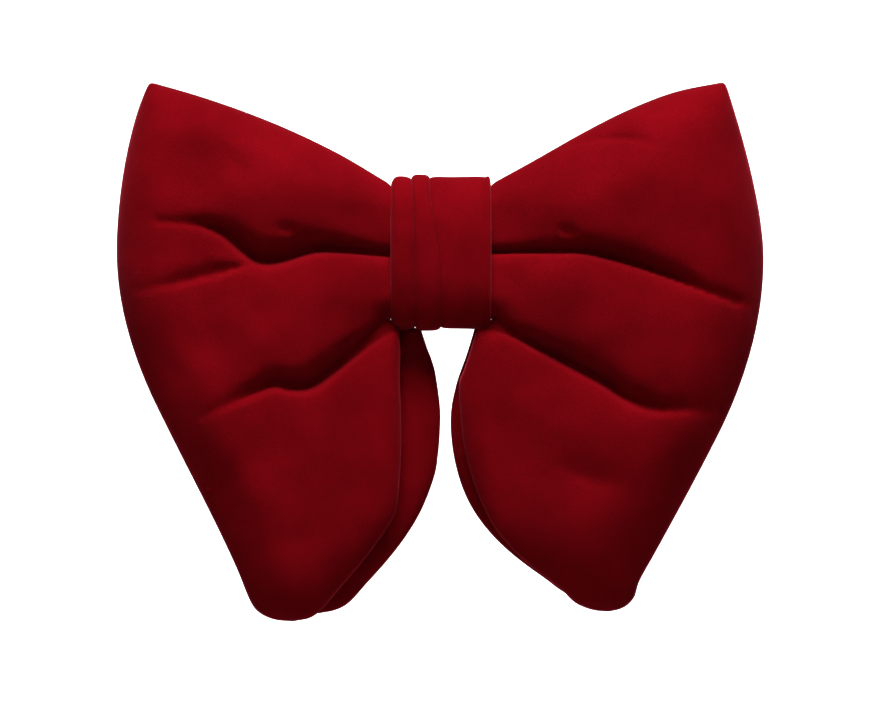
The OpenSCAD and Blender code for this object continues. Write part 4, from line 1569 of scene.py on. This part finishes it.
class BOWTIE_OT_stage(bpy.types.Operator):
    """Set up the white cove, the soft lights and the camera"""

    bl_idname = "bow_tie.stage"
    bl_label = "Stage"

    def execute(self, context):
        scene = context.scene
        floor_z = CAD_BOX[0][2] - FLOOR_DROP
        build_cove(floor_z, scene.bow_tie_colours.floor)
        for name, place, aim, size, watts in LIGHTS:
            light = bpy.data.lights.new(name, "AREA")
            light.shape = "SQUARE"
            light.size = size
            light.energy = watts
            light.spread = LIGHT_SPREAD
            lamp = bpy.data.objects.new(name, light)
            lamp.location = place
            lamp.rotation_euler = (Vector(aim) - lamp.location).to_track_quat("-Z", "Y").to_euler()
            scene.collection.objects.link(lamp)
        world = scene.world or bpy.data.worlds.new("studio")
        scene.world = world
        world.use_nodes = True
        background = world.node_tree.nodes["Background"]
        background.inputs["Color"].default_value = (1, 1, 1, 1)
        background.inputs["Strength"].default_value = WORLD_STRENGTH
        camera = bpy.data.cameras.new("front_camera")
        camera.lens, camera.sensor_width = LENS_MM, SENSOR_MM
        eye = bpy.data.objects.new("front_camera", camera)
        eye.location = (CAMERA_X, (KNOT_MID_Y + 1.0) * MM - CAMERA_DISTANCE, CAMERA_Z)
        eye.rotation_euler = (math.pi / 2, 0, 0)
        scene.collection.objects.link(eye)
        scene.camera = eye
        scene.view_settings.view_transform = "Standard"
        return {"FINISHED"}


LIGHTS = (
    # name, place, what it points at, size, watts
    ("soft_top", (0.0, -0.34, 0.52), (0.0, -0.07, -0.02), 0.26, 1.0),
    ("front_fill", (-0.2, -1.2, 0.2), (0.0, -0.07, -0.02), 0.7, 0.12),
    ("back_fill", (0.25, 0.75, 0.7), (0.0, 0.0, 0.0), 0.6, 0.6),
    ("backdrop_wash", (0.0, 0.35, 1.15), (0.0, 1.6, 0.1), 0.9, 22.0),
)
# The camera looks level at the bow: its place across, its distance from the knot and its height
CAMERA_X, CAMERA_DISTANCE, CAMERA_Z = -0.0002, 0.769, -0.0231
LENS_MM, SENSOR_MM = 135, 36
WORLD_STRENGTH = 0.03
LIGHT_SPREAD = math.radians(75)
FLOOR_DROP = 0.45


def build_cove(floor_z, colour):
    """A round white floor that curves up into a low wall on every side."""
    radius, bend, height = 1.7, 0.5, 1.5
    profile = [(0.0, 0.0), (0.4, 0.0), (radius - bend, 0.0)]
    profile += [(radius - bend + bend * math.sin(a), bend - bend * math.cos(a))
                for a in np.linspace(0, math.pi / 2, 13)[1:]]
    profile.append((radius, height))
    around = 96
    points, faces = [(0, 0, floor_z / MM)], []
    for r, z in profile[1:]:
        points += [(r * math.cos(a) / MM, r * math.sin(a) / MM, (floor_z + z) / MM)
                   for a in np.linspace(0, 2 * math.pi, around, endpoint=False)]
    faces += [[0, 1 + i, 1 + (i + 1) % around] for i in range(around)]
    for ring in range(len(profile) - 2):
        a, b = 1 + ring * around, 1 + (ring + 1) * around
        faces += [[a + i, b + i, b + (i + 1) % around, a + (i + 1) % around] for i in range(around)]
    cove = make_object("white_cove", points, faces)
    mat, _, shader = new_material("cove_paint", colour, 0.8)
    shader.inputs["Specular IOR Level"].default_value = 0.1
    cove.data.materials.append(mat)


OPERATORS = (
    BOWTIE_OT_front_wings,
    BOWTIE_OT_rear_wings,
    BOWTIE_OT_waists,
    BOWTIE_OT_knot,
    BOWTIE_OT_neckband,
    BOWTIE_OT_fittings,
    BOWTIE_OT_hand_sewing,
    BOWTIE_OT_stage,
)


class BOWTIE_PT_pieces(bpy.types.Panel):
    """The bow tie's pieces, in the order in which they are made"""

    bl_label = "Velvet Bow Tie"
    bl_idname = "BOWTIE_PT_pieces"
    bl_space_type = "VIEW_3D"
    bl_region_type = "UI"
    bl_category = "Bow Tie"

    def draw(self, context):
        layout = self.layout
        for settings in (context.scene.bow_tie_sizes, context.scene.bow_tie_colours):
            box = layout.box()
            for key in settings.__annotations__:
                box.prop(settings, key)
        for operator in OPERATORS:
            layout.operator(operator.bl_idname)


def register():
    """Adds the settings, the operators and the panel to Blender."""
    for cls in (BowTieSizes, BowTieColours, *OPERATORS, BOWTIE_PT_pieces):
        bpy.utils.register_class(cls)
    bpy.types.Scene.bow_tie_sizes = bpy.props.PointerProperty(type=BowTieSizes)
    bpy.types.Scene.bow_tie_colours = bpy.props.PointerProperty(type=BowTieColours)


def unregister():
    """Takes the settings, the operators and the panel out again."""
    del bpy.types.Scene.bow_tie_colours
    del bpy.types.Scene.bow_tie_sizes
    for cls in (BOWTIE_PT_pieces, *reversed(OPERATORS), BowTieColours, BowTieSizes):
        bpy.utils.unregister_class(cls)


def main():
    """Makes every piece and the stage."""
    register()
    bpy.ops.bow_tie.stage()
    bpy.ops.bow_tie.front_wings()
    bpy.ops.bow_tie.rear_wings()
    bpy.ops.bow_tie.waists()
    bpy.ops.bow_tie.knot()
    bpy.ops.bow_tie.neckband()
    bpy.ops.bow_tie.fittings()
    bpy.ops.bow_tie.hand_sewing()


if __name__ == "__main__":
    main()
